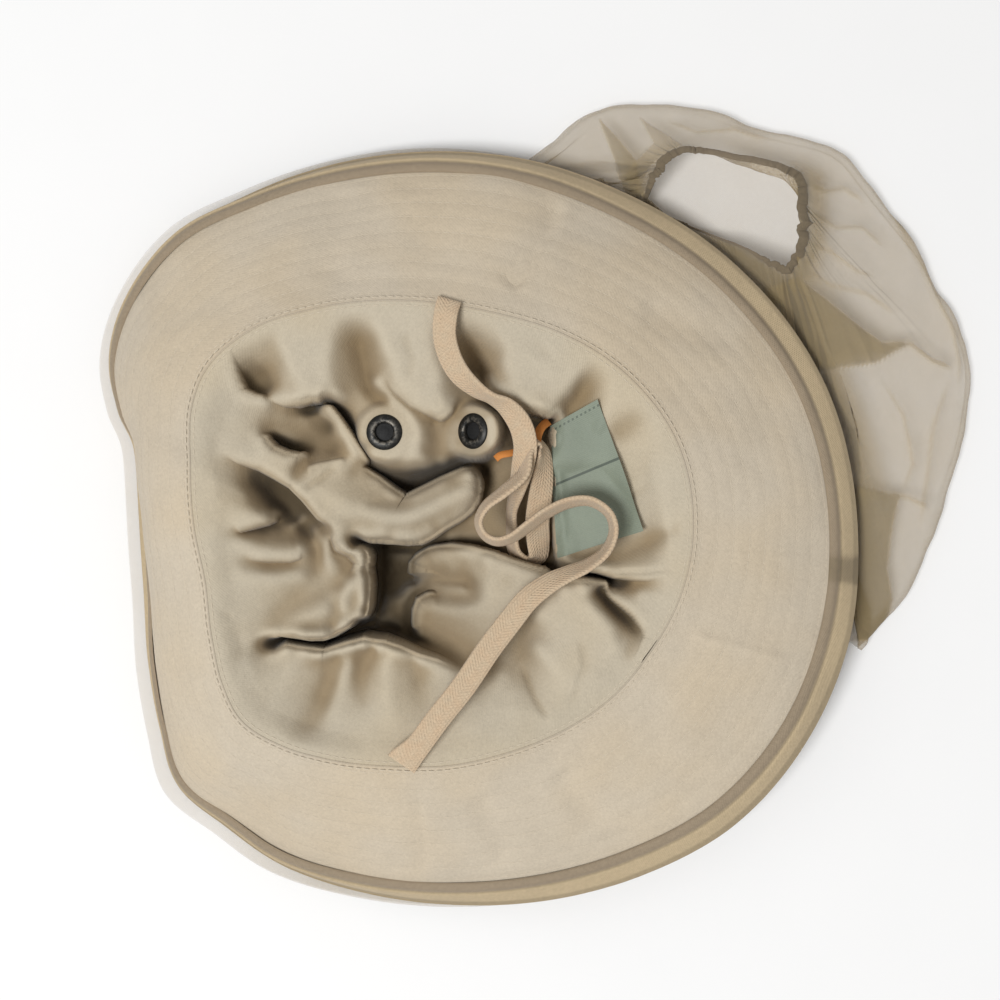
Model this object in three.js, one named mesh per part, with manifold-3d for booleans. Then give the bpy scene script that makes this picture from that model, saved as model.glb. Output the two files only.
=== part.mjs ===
// A cloth sun hat with a sewn-on insect net, laid upside down. The underside of the brim faces up,
// the crown is crumpled down inside its own opening, and the net is turned down round it, runs out
// under it to one side and folds back over on top to its elastic neck.
// Millimetres, +Z up. The origin is the middle of the crown's opening, on the resting surface.
import * as THREE from "three";
import { mergeVertices } from "three/addons/utils/BufferGeometryUtils.js";
import Module from "manifold-3d";

// Driving sizes.
const CROWN_CLOTH = 1.6;
const BRIM_CLOTH = 2.4;
const NET_CLOTH = 1;
const HEM_CLOTH = 1;
const LABEL_CLOTH = 1;
const GAP = 0.3;
const SEAM_GAP = 0.45;
const HEM = { onBrim: 6, wide: 7.4, lowest: 3, corner: 1.4, toNet: 2.7, ease: 0.5 };
const TAPE = { wide: 9.5, thick: 1.4, steps: 70, clear: 1 };
const EYELET = { flange: 7, backFlange: 6.2, barrel: 4.3, hole: 3.5, lip: 0.9, sides: 12 };
const SCREEN = { thick: 0.8 };
const ELASTIC = { wide: 4, thick: 2.2, clear: 1.2 };
const STEPS_ROUND = 64;
const CROWN_ROUND = 56;
const CROWN_LOWEST = 3.4;
const CROWN_HALVES = [
  { name: "crown_side_upper", from: -0.023, to: 0.457, vented: true },
  { name: "crown_side_lower", from: 0.457, to: 0.977, vented: false },
];
const CROWN_HALF_GAP = 0.0016;
const HOLLOW = { x: -20, y: -18 };
const CROWN_ROWS = {
  side: [0, 0.06, 0.12, 0.18, 0.24, 0.3, 0.36, 0.42, 0.48, 0.545, 0.61],
  top: [0.614, 0.7, 0.79, 0.89],
};

// The crown's opening and the brim's edge, a row for each station round them. turn: degrees from
// +X; seam, edge: distance from the middle; seamUp, edgeUp: height; bow: how far the brim bulges
// between the two; hem, skirt: how far the hem band and the net stand out past the edge.
const RIM = [
  { turn: 0, seam: 98, seamUp: 45, edge: 159, edgeUp: 25, bow: 2, hem: 7, skirt: 6 },
  { turn: 20, seam: 98, seamUp: 45.5, edge: 157, edgeUp: 21, bow: 2, hem: 7.3, skirt: 6 },
  { turn: 40, seam: 94, seamUp: 47, edge: 152, edgeUp: 19.5, bow: 2, hem: 7.3, skirt: 5 },
  { turn: 60, seam: 89, seamUp: 50, edge: 147, edgeUp: 23, bow: 2, hem: 6.8, skirt: 5 },
  { turn: 75, seam: 86.5, seamUp: 51.5, edge: 146, edgeUp: 26, bow: 3, hem: 6, skirt: 7 },
  { turn: 90, seam: 87.5, seamUp: 52.5, edge: 146.5, edgeUp: 26, bow: 2, hem: 5, skirt: 8.5 },
  { turn: 105, seam: 91.5, seamUp: 53.5, edge: 148.5, edgeUp: 23, bow: 2, hem: 4.6, skirt: 8 },
  { turn: 120, seam: 98, seamUp: 54.5, edge: 153, edgeUp: 19, bow: 3, hem: 3.6, skirt: 7 },
  { turn: 132, seam: 105, seamUp: 55, edge: 159, edgeUp: 15, bow: 3, hem: 2.4, skirt: 6.5 },
  { turn: 144, seam: 108.5, seamUp: 56, edge: 157, edgeUp: 11, bow: 4, hem: 2, skirt: 6 },
  { turn: 153, seam: 106, seamUp: 56, edge: 150, edgeUp: 9, bow: 5, hem: 2.4, skirt: 6.5 },
  { turn: 160, seam: 101.5, seamUp: 56, edge: 138, edgeUp: 8, bow: 7, hem: 3.5, skirt: 8 },
  { turn: 166, seam: 98, seamUp: 56, edge: 125, edgeUp: 7.5, bow: 10, hem: 5, skirt: 11 },
  { turn: 178, seam: 94, seamUp: 56, edge: 118.5, edgeUp: 7, bow: 10, hem: 5.8, skirt: 12 },
  { turn: 192, seam: 91.5, seamUp: 56, edge: 119.5, edgeUp: 7, bow: 10, hem: 5.5, skirt: 11 },
  { turn: 205, seam: 96, seamUp: 55.5, edge: 128.5, edgeUp: 7, bow: 8, hem: 4.2, skirt: 9 },
  { turn: 215, seam: 101.5, seamUp: 55, edge: 138, edgeUp: 7.2, bow: 6, hem: 3.4, skirt: 7 },
  { turn: 224, seam: 105, seamUp: 54, edge: 147.5, edgeUp: 8, bow: 4, hem: 3.2, skirt: 6 },
  { turn: 234, seam: 102, seamUp: 53.5, edge: 146.5, edgeUp: 9.5, bow: 3, hem: 4, skirt: 6 },
  { turn: 244, seam: 97.5, seamUp: 52.5, edge: 148, edgeUp: 11, bow: 3, hem: 4, skirt: 6 },
  { turn: 258, seam: 92.5, seamUp: 51, edge: 146, edgeUp: 14, bow: 2, hem: 5, skirt: 6.5 },
  { turn: 272, seam: 90.5, seamUp: 50, edge: 145.5, edgeUp: 17, bow: 2, hem: 6.2, skirt: 7.5 },
  { turn: 286, seam: 89.5, seamUp: 49, edge: 147.5, edgeUp: 21, bow: 2, hem: 7, skirt: 8 },
  { turn: 300, seam: 90.5, seamUp: 47.5, edge: 151.5, edgeUp: 26, bow: 2, hem: 7.3, skirt: 7.5 },
  { turn: 315, seam: 92.5, seamUp: 46.5, edge: 157.5, edgeUp: 31, bow: 2, hem: 7.1, skirt: 6.5 },
  { turn: 330, seam: 94, seamUp: 45.5, edge: 160, edgeUp: 33, bow: 2, hem: 6.8, skirt: 6 },
  { turn: 345, seam: 96.5, seamUp: 45, edge: 160, edgeUp: 30, bow: 2, hem: 7.3, skirt: 6 },
];

// Heights of the crumpled crown, a row for each shelf, roll, pocket or lobe. up: height of the
// cloth there; reach: how far that height holds.
const LEVELS = [
  { name: "left shelf, upper", x: -87, y: 35, up: 51, reach: 11 },
  { name: "left shelf", x: -86, y: -4, up: 50, reach: 11 },
  { name: "left shelf, lower", x: -79, y: -42, up: 49, reach: 12 },
  { name: "crest beside the pockets", x: -69, y: 27, up: 46, reach: 7 },
  { name: "upper pocket", x: -56, y: 33, up: 32, reach: 7 },
  { name: "left pocket", x: -64, y: 12, up: 33, reach: 7 },
  { name: "slope under the crease", x: -60, y: 46, up: 41, reach: 7 },
  { name: "upper left pad", x: -52, y: 64, up: 48, reach: 10 },
  { name: "upper valley", x: -31, y: 57, up: 40, reach: 7 },
  { name: "pad over the vents", x: -9, y: 66, up: 49, reach: 10 },
  { name: "left vent", x: -22, y: 38, up: 42, reach: 8 },
  { name: "between the vents", x: -1, y: 38, up: 38, reach: 6 },
  { name: "crest past the right vent", x: 22, y: 38, up: 48, reach: 7 },
  { name: "roll, left end", x: -46, y: 13, up: 43, reach: 8 },
  { name: "roll, middle", x: -21, y: 6, up: 39, reach: 8 },
  { name: "roll, right end", x: 8, y: 15, up: 33, reach: 8 },
  { name: "hollow", x: -20, y: -18, up: 4, reach: 8 },
  { name: "dark slope", x: -12, y: -35, up: 13, reach: 7 },
  { name: "inner bump", x: 5, y: -11, up: 23, reach: 6 },
  { name: "inner lobe", x: 4, y: -33, up: 27, reach: 7 },
  { name: "left flap", x: -34, y: -15, up: 41, reach: 6 },
  { name: "left flap, lower", x: -50, y: -33, up: 45, reach: 9 },
  { name: "lower lobe, left", x: -54, y: -52, up: 44, reach: 9 },
  { name: "lower lobe", x: -27, y: -50, up: 40, reach: 8 },
  { name: "lower lobe, right", x: 0, y: -57, up: 37, reach: 8 },
  { name: "lower right bulge", x: 56, y: -40, up: 44, reach: 12 },
  { name: "gap over the bulge", x: 62, y: -19, up: 24, reach: 6 },
  { name: "right slope", x: 85, y: -7, up: 41, reach: 8 },
  { name: "upper right bulge", x: 40, y: 64, up: 47, reach: 11 },
  { name: "valley beside the tape", x: 15, y: 70, up: 41, reach: 6 },
  { name: "label wall, upper", x: 58, y: 43, up: 38, reach: 9 },
  { name: "label wall, lower", x: 58, y: 4, up: 31, reach: 9 },
  { name: "right rim", x: 85, y: 24, up: 43, reach: 9 },
  { name: "trough", x: 31, y: -9, up: 16, reach: 7 },
  { name: "under the upper bulge", x: 35, y: 40, up: 22, reach: 5 },
  { name: "valley left of the bulge", x: 25, y: -48, up: 35, reach: 7 },
  { name: "lower wall", x: 22, y: -68, up: 43, reach: 9 },
];

// Creases of the crown that are wide enough to cut as solids. path: points along the crease;
// depth: how far it sinks; left, right: half widths either side of the path.
const CREASES = [
  { name: "under the vents", depth: 20, left: 3, right: 4,
    path: [[-46, 49], [-40, 42], [-29, 24], [-15, 16], [-5, 18], [14, 27], [26, 38]] },
  { name: "under the roll", depth: 14, left: 3, right: 4,
    path: [[-34, -4], [-21, -5], [-9, -5], [0, 0], [14, 8]] },
  { name: "left pocket edge", depth: 7, left: 3, right: 5,
    path: [[-82, 28], [-70, 24], [-57, 16], [-45, 4]] },
  { name: "lower slit", depth: 12, left: 3, right: 3,
    path: [[-67, -42], [-57, -41], [-45, -46], [-36, -42], [-29, -38]] },
  { name: "upper left notch", depth: 7, left: 5, right: 3,
    path: [[-79, 68], [-76, 56], [-67, 50], [-52, 48]] },
  { name: "upper valley crease", depth: 6, left: 4, right: 7,
    path: [[-37, 82], [-32, 66], [-28, 56], [-20, 49]] },
  { name: "lower wall valley", depth: 6, left: 4, right: 8, path: [[-40, -53], [-46, -65], [-52, -76]] },
  { name: "right of the bulge", depth: 7, left: 4, right: 7,
    path: [[62, -21], [78, -36], [80, -41], [75, -53]] },
  { name: "left of the bulge", depth: 5, left: 4, right: 4, path: [[32, -36], [31, -52], [40, -70]] },
  { name: "right of the upper bulge", depth: 5, left: 3, right: 6, path: [[59, 67], [56, 58], [47, 46]] },
];

// The net's sections from the brim's edge to its neck. The first rows hang from the brim's outline.
// skirt: share of the rim's skirt that they stand out by; hang: share of the edge's height that they
// keep. The other rows are flattened loops. x, y: middle of the loop; heading: the way the bag runs;
// across: half width; near, far: where the hat's side and the far side lie along the heading.
// low, high: heights of the far and the near side.
const NET_SECTIONS = [
  { skirt: 0, hang: 1, low: 0.5, high: 13 },
  { skirt: 1.1, hang: 0.4, low: 0.5, high: 12.5 },
  { skirt: 0.8, hang: 0.1, low: 0.5, high: 12 },
  { x: 14, y: 6, heading: 35, across: 135, near: 121, far: -98, low: 0.5, high: 11.2 },
  { x: 34, y: 17, heading: 35, across: 129, near: 96, far: -60, low: 0.5, high: 8.8 },
  { x: 58, y: 29, heading: 35, across: 123, near: 68, far: -18, low: 0.5, high: 7.8 },
  { x: 84, y: 41, heading: 35, across: 119, near: 39, far: 44, low: 0.5, high: 7 },
  { x: 99, y: 46, heading: 35, across: 117, near: 24, far: 104, low: 0.5, high: 6.2 },
  { x: 102, y: 47, heading: 35, across: 121, near: 23.5, far: 112, low: 3, high: 5.6 },
  { x: 102, y: 48, heading: 35, across: 121, near: 26, far: 111, low: 8, high: 5 },
  { x: 103, y: 56, heading: 37, across: 108, near: 24, far: 96, low: 13, high: 5.2 },
  { x: 105, y: 74, heading: 40, across: 86, near: 17, far: 76, low: 18, high: 5.6 },
  { x: 108, y: 102, heading: 47, across: 56, near: 2, far: 44, low: 22, high: 7 },
  { x: 112, y: 124, heading: 54, across: 38, near: -8, far: 20, low: 25, high: 15 },
];
const NET_ON_RIM = 3;
const NET_OVER = 8;
const NET_LID = { up: 6.5, rise: 1.8, clear: 1 };
const NET_ROUND = 54;
const NET_HEADING = 35;
const NET_PART_GAP = 0.4;
const NET_PARTS = [
  { name: "net_skirt", from: 0, to: 3 },
  { name: "net_lower", from: 3, to: 8 },
  { name: "net_upper", from: 8, to: 13 },
];
const NET_LOOP = { square: 0.82, rightAcross: 0.03, rightFar: 0.24 };

// The chin tape's middle line from the upper end of the seam to the lower one. roll: degrees that
// the tape is turned about its run, 0 lying flat.
const TAPE_ROUTE = [
  { x: 4, y: 89, up: 54.2, roll: 0 },
  { x: 2.5, y: 83, up: 56.5, roll: 12 },
  { x: 2, y: 75, up: 56, roll: 20 },
  { x: 4, y: 67, up: 55.5, roll: 25 },
  { x: 8, y: 60, up: 55, roll: 35 },
  { x: 14, y: 54.5, up: 54, roll: 55 },
  { x: 20, y: 51, up: 53.5, roll: 75 },
  { x: 26, y: 47.5, up: 53, roll: 45 },
  { x: 31, y: 41, up: 52, roll: 20 },
  { x: 33, y: 33, up: 50, roll: 15 },
  { x: 32, y: 25, up: 46, roll: 25 },
  { x: 30, y: 17, up: 41, roll: 50 },
  { x: 28, y: 9, up: 36, roll: 70 },
  { x: 28, y: 1, up: 31, roll: 70 },
  { x: 29, y: -7, up: 26, roll: 60 },
  { x: 33, y: -12, up: 24, roll: 60 },
  { x: 38, y: -11, up: 25.5, roll: 40 },
  { x: 38, y: -4, up: 30, roll: 10 },
  { x: 38, y: 4, up: 34, roll: 0 },
  { x: 39, y: 13, up: 37.5, roll: 10 },
  { x: 40, y: 22, up: 40, roll: 35 },
  { x: 40, y: 30, up: 43, roll: 60 },
  { x: 37, y: 34, up: 45.5, roll: 75 },
  { x: 34, y: 30, up: 47.5, roll: 70 },
  { x: 32, y: 22, up: 51, roll: 50 },
  { x: 25, y: 15.5, up: 53, roll: 50 },
  { x: 18, y: 10, up: 51, roll: 60 },
  { x: 15, y: 4, up: 49, roll: 70 },
  { x: 17, y: -1.5, up: 48.5, roll: 70 },
  { x: 22, y: -4, up: 49, roll: 65 },
  { x: 28, y: -2.5, up: 49.5, roll: 55 },
  { x: 35, y: 2.5, up: 50, roll: 50 },
  { x: 42, y: 7.5, up: 50, roll: 55 },
  { x: 50, y: 11, up: 49.5, roll: 60 },
  { x: 58, y: 11.5, up: 49.5, roll: 65 },
  { x: 65, y: 7, up: 49.5, roll: 70 },
  { x: 67, y: 0, up: 50, roll: 70 },
  { x: 64, y: -7.5, up: 50.5, roll: 60 },
  { x: 57, y: -13, up: 51, roll: 50 },
  { x: 49, y: -16.5, up: 51.5, roll: 40 },
  { x: 42, y: -20, up: 52, roll: 25 },
  { x: 34, y: -26, up: 53, roll: 12 },
  { x: 27, y: -34.5, up: 54, roll: 5 },
  { x: 19, y: -45, up: 55, roll: 0 },
  { x: 9.5, y: -59, up: 56, roll: 0 },
  { x: 0, y: -71, up: 56.5, roll: 0 },
  { x: -8, y: -82, up: 55.5, roll: 0 },
  { x: -13.5, y: -90, up: 54, roll: 0 },
];

// The eyelets' middles on the crown's inner face. lean: degrees that they face towards -X.
const EYELETS = [
  { side: "left", x: -21.7, y: 38.4, up: 43, lean: 0 },
  { side: "right", x: 12.8, y: 38.8, up: 43.5, lean: 35 },
];
const EYELET_FLAT = { full: 9, none: 13 };

// The label's four corners, seen from above, starting at its upper left one.
const LABEL_CORNERS = [[43, 41], [61, 51], [79, 0], [46, -11]];
const LABEL_GRID = { along: 8, across: 5, clear: 2.3, margin: 3 };

const COLOURS = {
  cloth: 0xc0b199,
  crown: 0xc4b89c,
  hem: 0x9c8b6d,
  net: 0xbdb199,
  elastic: 0x6f6350,
  tape: 0xcdb69a,
  label: 0xa4b3a0,
  metal: 0x1f1e1b,
};

const wasm = await Module();
wasm.setup();

const smooth = (x) => {
  const k = Math.min(1, Math.max(0, x));
  return k * k * (3 - 2 * k);
};

const mix = (a, b, k) => a + (b - a) * k;

// Catmull-Rom value of a column of a table at a fractional row; a closed table runs on past its end.
function column(rows, key, at, closed) {
  const count = rows.length;
  const row = Math.floor(at);
  const k = at - row;
  const pick = (i) => {
    if (!closed) return rows[Math.min(count - 1, Math.max(0, i))][key];
    const lap = Math.floor(i / count);
    const value = rows[i - lap * count][key];
    return key === "turn" ? value + 360 * lap : value;
  };
  const [a, b, c, d] = [pick(row - 1), pick(row), pick(row + 1), pick(row + 2)];
  return b + 0.5 * k * (c - a + k * (2 * a - 5 * b + 4 * c - d + k * (3 * (b - c) + d - a)));
}

// Everything that the rim's table says at a share of the way round.
function rimAt(share) {
  const at = share * RIM.length;
  const rim = {};
  for (const key of Object.keys(RIM[0])) rim[key] = column(RIM, key, at, true);
  const turn = THREE.MathUtils.degToRad(rim.turn);
  rim.out = new THREE.Vector3(Math.cos(turn), Math.sin(turn), 0);
  return rim;
}

const polar = (rim, reach, up) => rim.out.clone().multiplyScalar(reach).setZ(up);

// The brim's middle surface at a share k of the way from seam to edge, its outward run and its
// upper normal, in the upright plane through the middle.
function brimAt(rim, k) {
  const reach = rim.edge - rim.seam;
  const fall = rim.edgeUp - rim.seamUp;
  const chord = Math.hypot(reach, fall);
  const along = new THREE.Vector2(reach, fall).divideScalar(chord);
  const lift = new THREE.Vector2(-along.y, along.x);
  const bulge = rim.bow * Math.sin(Math.PI * k);
  const slope = (rim.bow * Math.PI * Math.cos(Math.PI * k)) / chord;
  const point = new THREE.Vector2(rim.seam, rim.seamUp).addScaledVector(along, chord * k);
  point.addScaledVector(lift, bulge);
  const run = along.clone().addScaledVector(lift, slope).normalize();
  return { point, run, normal: new THREE.Vector2(-run.y, run.x) };
}

// A closed geometry from loops of points: each loop is joined to the next, the last to the first.
function sweepRound(loops) {
  const positions = [];
  loops.forEach((loop, i) => {
    const next = loops[(i + 1) % loops.length];
    loop.forEach((a, j) => {
      const k = (j + 1) % loop.length;
      positions.push(a, next[j], next[k], a, next[k], loop[k]);
    });
  });
  return facesOf(positions);
}

// A closed geometry from loops of points in a row, with a flat cap on each end.
function sweepAlong(loops) {
  const positions = [];
  for (let i = 0; i + 1 < loops.length; i++) {
    loops[i].forEach((a, j) => {
      const k = (j + 1) % loops[i].length;
      positions.push(a, loops[i + 1][j], loops[i + 1][k], a, loops[i + 1][k], loops[i][k]);
    });
  }
  const first = loops[0];
  const last = loops[loops.length - 1];
  for (let j = 1; j + 1 < first.length; j++) {
    positions.push(first[0], first[j], first[j + 1], last[0], last[j + 1], last[j]);
  }
  return facesOf(positions);
}

const facesOf = (points) => mergeVertices(new THREE.BufferGeometry().setFromPoints(points), 1e-3);

function solidOf(geometry) {
  const plain = geometry.clone();
  for (const name of Object.keys(plain.attributes)) if (name !== "position") plain.deleteAttribute(name);
  const merged = mergeVertices(plain, 1e-3);
  const triVerts = new Uint32Array(merged.index.array);
  return new wasm.Manifold(
    new wasm.Mesh({ numProp: 3, vertProperties: merged.attributes.position.array, triVerts }));
}

// A geometry with its double vertices and flat faces taken out.
const closed = (geometry) => geometryOf(solidOf(geometry));

function geometryOf(solid) {
  const mesh = solid.getMesh();
  const geometry = new THREE.BufferGeometry();
  geometry.setAttribute("position", new THREE.BufferAttribute(mesh.vertProperties, 3));
  return geometry.setIndex(new THREE.BufferAttribute(mesh.triVerts, 1));
}

function piece(name, geometry, colour, finish = {}) {
  const material = new THREE.MeshStandardMaterial({ color: colour, roughness: 0.9, metalness: 0, ...finish });
  const mesh = new THREE.Mesh(geometry, material);
  mesh.name = name;
  return mesh;
}

function stepsRound(count) {
  return Array.from({ length: count }, (_, i) => rimAt(i / count));
}

function brimSection(rim) {
  const shares = [0, 0.25, 0.5, 0.75, 1];
  const face = (k, side) => {
    const { point, normal } = brimAt(rim, k);
    const upright = new THREE.Vector2(0, 1).lerp(normal, smooth(4 * k)).normalize();
    const at = point.addScaledVector(upright, (side * BRIM_CLOTH) / 2);
    return polar(rim, at.x + (k === 0 ? GAP / 2 : 0), at.y - BRIM_CLOTH / 2);
  };
  return [...shares.map((k) => face(k, -1)), ...shares.reverse().map((k) => face(k, 1))];
}

const buildBrim = () => piece("brim", sweepRound(stepsRound(STEPS_ROUND).map(brimSection)), COLOURS.cloth);

// The hem band's outer edge, before the brim's half thickness is taken off its height.
function hemTip(rim) {
  const fall = Math.sqrt(Math.max(0, HEM.wide ** 2 - rim.hem ** 2));
  const up = Math.max(HEM.lowest + BRIM_CLOTH / 2, rim.edgeUp - fall);
  return new THREE.Vector2(rim.edge + rim.hem, up);
}

// The folded strip laps both faces of the brim's edge and runs on past it.
function hemSection(rim) {
  const inner = brimAt(rim, 1 - HEM.onBrim / 64);
  const edge = brimAt(rim, 1);
  const near = BRIM_CLOTH / 2 + GAP + HEM.ease;
  const far = near + HEM_CLOTH;
  const tip = hemTip(rim);
  const off = (at, up, on) =>
    at.point.clone().addScaledVector(at.normal, up).addScaledVector(at.run, on);
  const outline = [
    off(edge, near, GAP),
    off(edge, -near, GAP),
    off(inner, -near, 0),
    off(inner, -far, 0),
    off(edge, -far, HEM.corner),
    tip.clone().sub(new THREE.Vector2(0, HEM_CLOTH / 2)),
    tip.clone().add(new THREE.Vector2(0, HEM_CLOTH / 2)),
    off(edge, far, HEM.corner / 3),
    off(inner, far, 0),
    off(inner, near, 0),
  ];
  return outline.map((p) => polar(rim, p.x, p.y - BRIM_CLOTH / 2));
}

const buildHem = () => piece("hem_band", sweepRound(stepsRound(STEPS_ROUND).map(hemSection)), COLOURS.hem);

// Signed distance from a point to a path, positive on the path's left, with the share of the path.
function alongPath(path, x, y) {
  let best = { far: Infinity, side: 0, share: 0 };
  const spans = path.length - 1;
  for (let i = 0; i < spans; i++) {
    const [ax, ay] = path[i];
    const [dx, dy] = [path[i + 1][0] - ax, path[i + 1][1] - ay];
    const k = Math.min(1, Math.max(0, ((x - ax) * dx + (y - ay) * dy) / (dx * dx + dy * dy)));
    const far = Math.hypot(x - ax - k * dx, y - ay - k * dy);
    if (far < best.far) {
      const left = dx * (y - ay) - dy * (x - ax) >= 0;
      best = { far, side: left ? far : -far, share: (i + k) / spans };
    }
  }
  return best;
}

const leanOf = (eyelet) => THREE.MathUtils.degToRad(eyelet.lean);

// Height of the crown's inner face at a place, a share s of the way from the seam to the hollow.
function crownUp(x, y, s, seamUp) {
  let total = 1e-6;
  let sum = total * 40;
  for (const level of LEVELS) {
    const far = Math.hypot(x - level.x, y - level.y) / level.reach;
    const weight = Math.exp(-far * far * 0.5) + 0.02 / (1 + far ** 4);
    total += weight;
    sum += weight * level.up;
  }
  let up = mix(seamUp, sum / total, smooth(s / 0.24));
  for (const crease of CREASES) {
    const { side, share } = alongPath(crease.path, x, y);
    const wide = side > 0 ? crease.left : crease.right;
    const ends = smooth(share * 5) * smooth((1 - share) * 5);
    up -= crease.depth * ends * smooth(s / 0.08) * Math.exp(-((side / wide) ** 2));
  }
  for (const eyelet of EYELETS) {
    const far = Math.hypot(x - eyelet.x, y - eyelet.y);
    const flat = smooth((EYELET_FLAT.none - far) / (EYELET_FLAT.none - EYELET_FLAT.full));
    up = mix(up, eyelet.up + Math.tan(leanOf(eyelet)) * (x - eyelet.x), flat);
  }
  return Math.max(CROWN_LOWEST, up);
}

function crownPoint(rim, s) {
  const seam = polar(rim, rim.seam - SEAM_GAP, rim.seamUp);
  const x = mix(seam.x, HOLLOW.x, s);
  const y = mix(seam.y, HOLLOW.y, s);
  return new THREE.Vector3(x, y, crownUp(x, y, s, rim.seamUp));
}

// The cloth's outer face lies one thickness below its inner one, measured square to the slope.
function crownUnder(rim, s) {
  const at = crownPoint(rim, s);
  const step = 2.5;
  const up = (dx, dy) => crownUp(at.x + dx, at.y + dy, s, rim.seamUp);
  const slopeX = (up(step, 0) - up(-step, 0)) / (2 * step);
  const slopeY = (up(0, step) - up(0, -step)) / (2 * step);
  const steep = Math.min(2, Math.hypot(1, slopeX, slopeY));
  return at.setZ(Math.max(CROWN_LOWEST - CROWN_CLOTH, at.z - CROWN_CLOTH * steep));
}

const RIM_LOOKUP = stepsRound(360);
const SEAM_LOOKUP = RIM_LOOKUP.map((rim) => {
  const seam = polar(rim, rim.seam, 0);
  return { x: seam.x - HOLLOW.x, y: seam.y - HOLLOW.y, up: rim.seamUp };
});

// Height of the crown's inner face at any place inside the seam.
function crownSeat(x, y) {
  const [dx, dy] = [x - HOLLOW.x, y - HOLLOW.y];
  const miss = ({ x: sx, y: sy }) => Math.abs(Math.atan2(sx * dy - sy * dx, sx * dx + sy * dy));
  const seam = SEAM_LOOKUP.reduce((best, next) => (miss(next) < miss(best) ? next : best));
  return crownUp(x, y, Math.max(0, 1 - Math.hypot(dx, dy) / Math.hypot(seam.x, seam.y)), seam.up);
}

function crownSideSection(rim) {
  const shares = CROWN_ROWS.side;
  const inner = shares.map((s) => crownPoint(rim, s));
  const outer = shares.map((s) => crownUnder(rim, s));
  return [...inner, ...outer.reverse()];
}

// The round top panel: its two faces run in to one middle point each.
function crownTopGeometry(rims) {
  const rows = CROWN_ROWS.top;
  const last = rows.length - 1;
  const upper = new THREE.Vector3(HOLLOW.x, HOLLOW.y, crownUp(HOLLOW.x, HOLLOW.y, 1, 50));
  const under = upper.clone().setZ(upper.z - CROWN_CLOTH);
  const inner = rims.map((rim) => rows.map((s) => crownPoint(rim, s)));
  const outer = rims.map((rim) => rows.map((s) => crownUnder(rim, s)));
  const positions = [];
  rims.forEach((_, i) => {
    const k = (i + 1) % rims.length;
    const [a, b, c, d] = [inner[i], inner[k], outer[i], outer[k]];
    for (let j = 0; j < last; j++) {
      positions.push(a[j], b[j], b[j + 1], a[j], b[j + 1], a[j + 1]);
      positions.push(c[j], d[j + 1], d[j], c[j], c[j + 1], d[j + 1]);
    }
    positions.push(a[last], b[last], upper, d[last], c[last], under);
    positions.push(a[0], c[0], d[0], a[0], d[0], b[0]);
  });
  return facesOf(positions);
}

// A round piece turned about its own axis, from a closed profile of [reach, height].
function lathed(profile) {
  const points = [...profile, profile[0]].map(([reach, up]) => new THREE.Vector2(reach, up));
  return new THREE.LatheGeometry(points, EYELET.sides).rotateX(Math.PI / 2);
}

function placed(mesh, eyelet) {
  mesh.position.set(eyelet.x, eyelet.y, eyelet.up);
  mesh.rotation.y = -leanOf(eyelet);
  mesh.updateMatrixWorld();
  return mesh;
}

// An eyelet's two flanges grip the cloth round its barrel, with the screen across the barrel.
function buildEyelet(eyelet) {
  const { flange, backFlange, barrel, hole, lip } = EYELET;
  const back = -CROWN_CLOTH - GAP;
  const profile = [
    [hole, back - lip], [backFlange, back - lip], [backFlange, back], [barrel, back],
    [barrel, GAP], [flange, GAP], [flange - 0.6, GAP + lip], [barrel, GAP + lip + 0.4], [hole, GAP + lip],
  ];
  const radius = hole - GAP;
  const disc = [[0, back], [radius, back], [radius, back + SCREEN.thick], [0, back + SCREEN.thick]];
  const metal = { roughness: 0.4, metalness: 0.8 };
  return [
    placed(piece("eyelet_" + eyelet.side, closed(lathed(profile)), COLOURS.metal, metal), eyelet),
    placed(piece("vent_screen_" + eyelet.side, closed(lathed(disc)), COLOURS.metal, metal), eyelet),
  ];
}

// The crown's side is two panels that meet at the side seams. The upper one has a hole for each
// eyelet's barrel and room for its two flanges.
function buildCrown() {
  const rims = stepsRound(CROWN_ROUND);
  const { flange, backFlange, barrel } = EYELET;
  const room = [
    [0, -12], [backFlange + GAP, -12], [backFlange + GAP, -CROWN_CLOTH - GAP / 2],
    [barrel + GAP, -CROWN_CLOTH - GAP / 2], [barrel + GAP, GAP / 2], [flange + GAP, GAP / 2],
    [flange + GAP, 12], [0, 12],
  ];
  const sides = CROWN_HALVES.map(({ name, from, to, vented }) => {
    const count = CROWN_ROUND / 2;
    const start = from + CROWN_HALF_GAP / 2;
    const span = to - from - CROWN_HALF_GAP;
    const stations = Array.from({ length: count + 1 }, (_, i) => rimAt(start + (span * i) / count));
    let half = solidOf(sweepAlong(stations.map(crownSideSection)));
    for (const eyelet of vented ? EYELETS : []) {
      const cutter = placed(new THREE.Mesh(lathed(room)), eyelet);
      half = half.subtract(solidOf(cutter.geometry.applyMatrix4(cutter.matrixWorld)));
    }
    return piece(name, geometryOf(half), COLOURS.crown);
  });
  return [...sides, piece("crown_top", crownTopGeometry(rims), COLOURS.crown)];
}

// How high the net's upper layer may stand at a place, low enough to pass under the brim's edge.
function lidAt(at) {
  const turn = Math.atan2(at.y, at.x);
  const miss = (rim) => 1 - rim.out.x * Math.cos(turn) - rim.out.y * Math.sin(turn);
  const rim = RIM_LOOKUP.reduce((best, next) => (miss(next) < miss(best) ? next : best));
  const beyond = Math.hypot(at.x, at.y) - rim.edge - Math.max(rim.skirt, rim.hem) - NET_LID.clear;
  return NET_LID.up + NET_LID.rise * Math.max(0, beyond);
}

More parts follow.
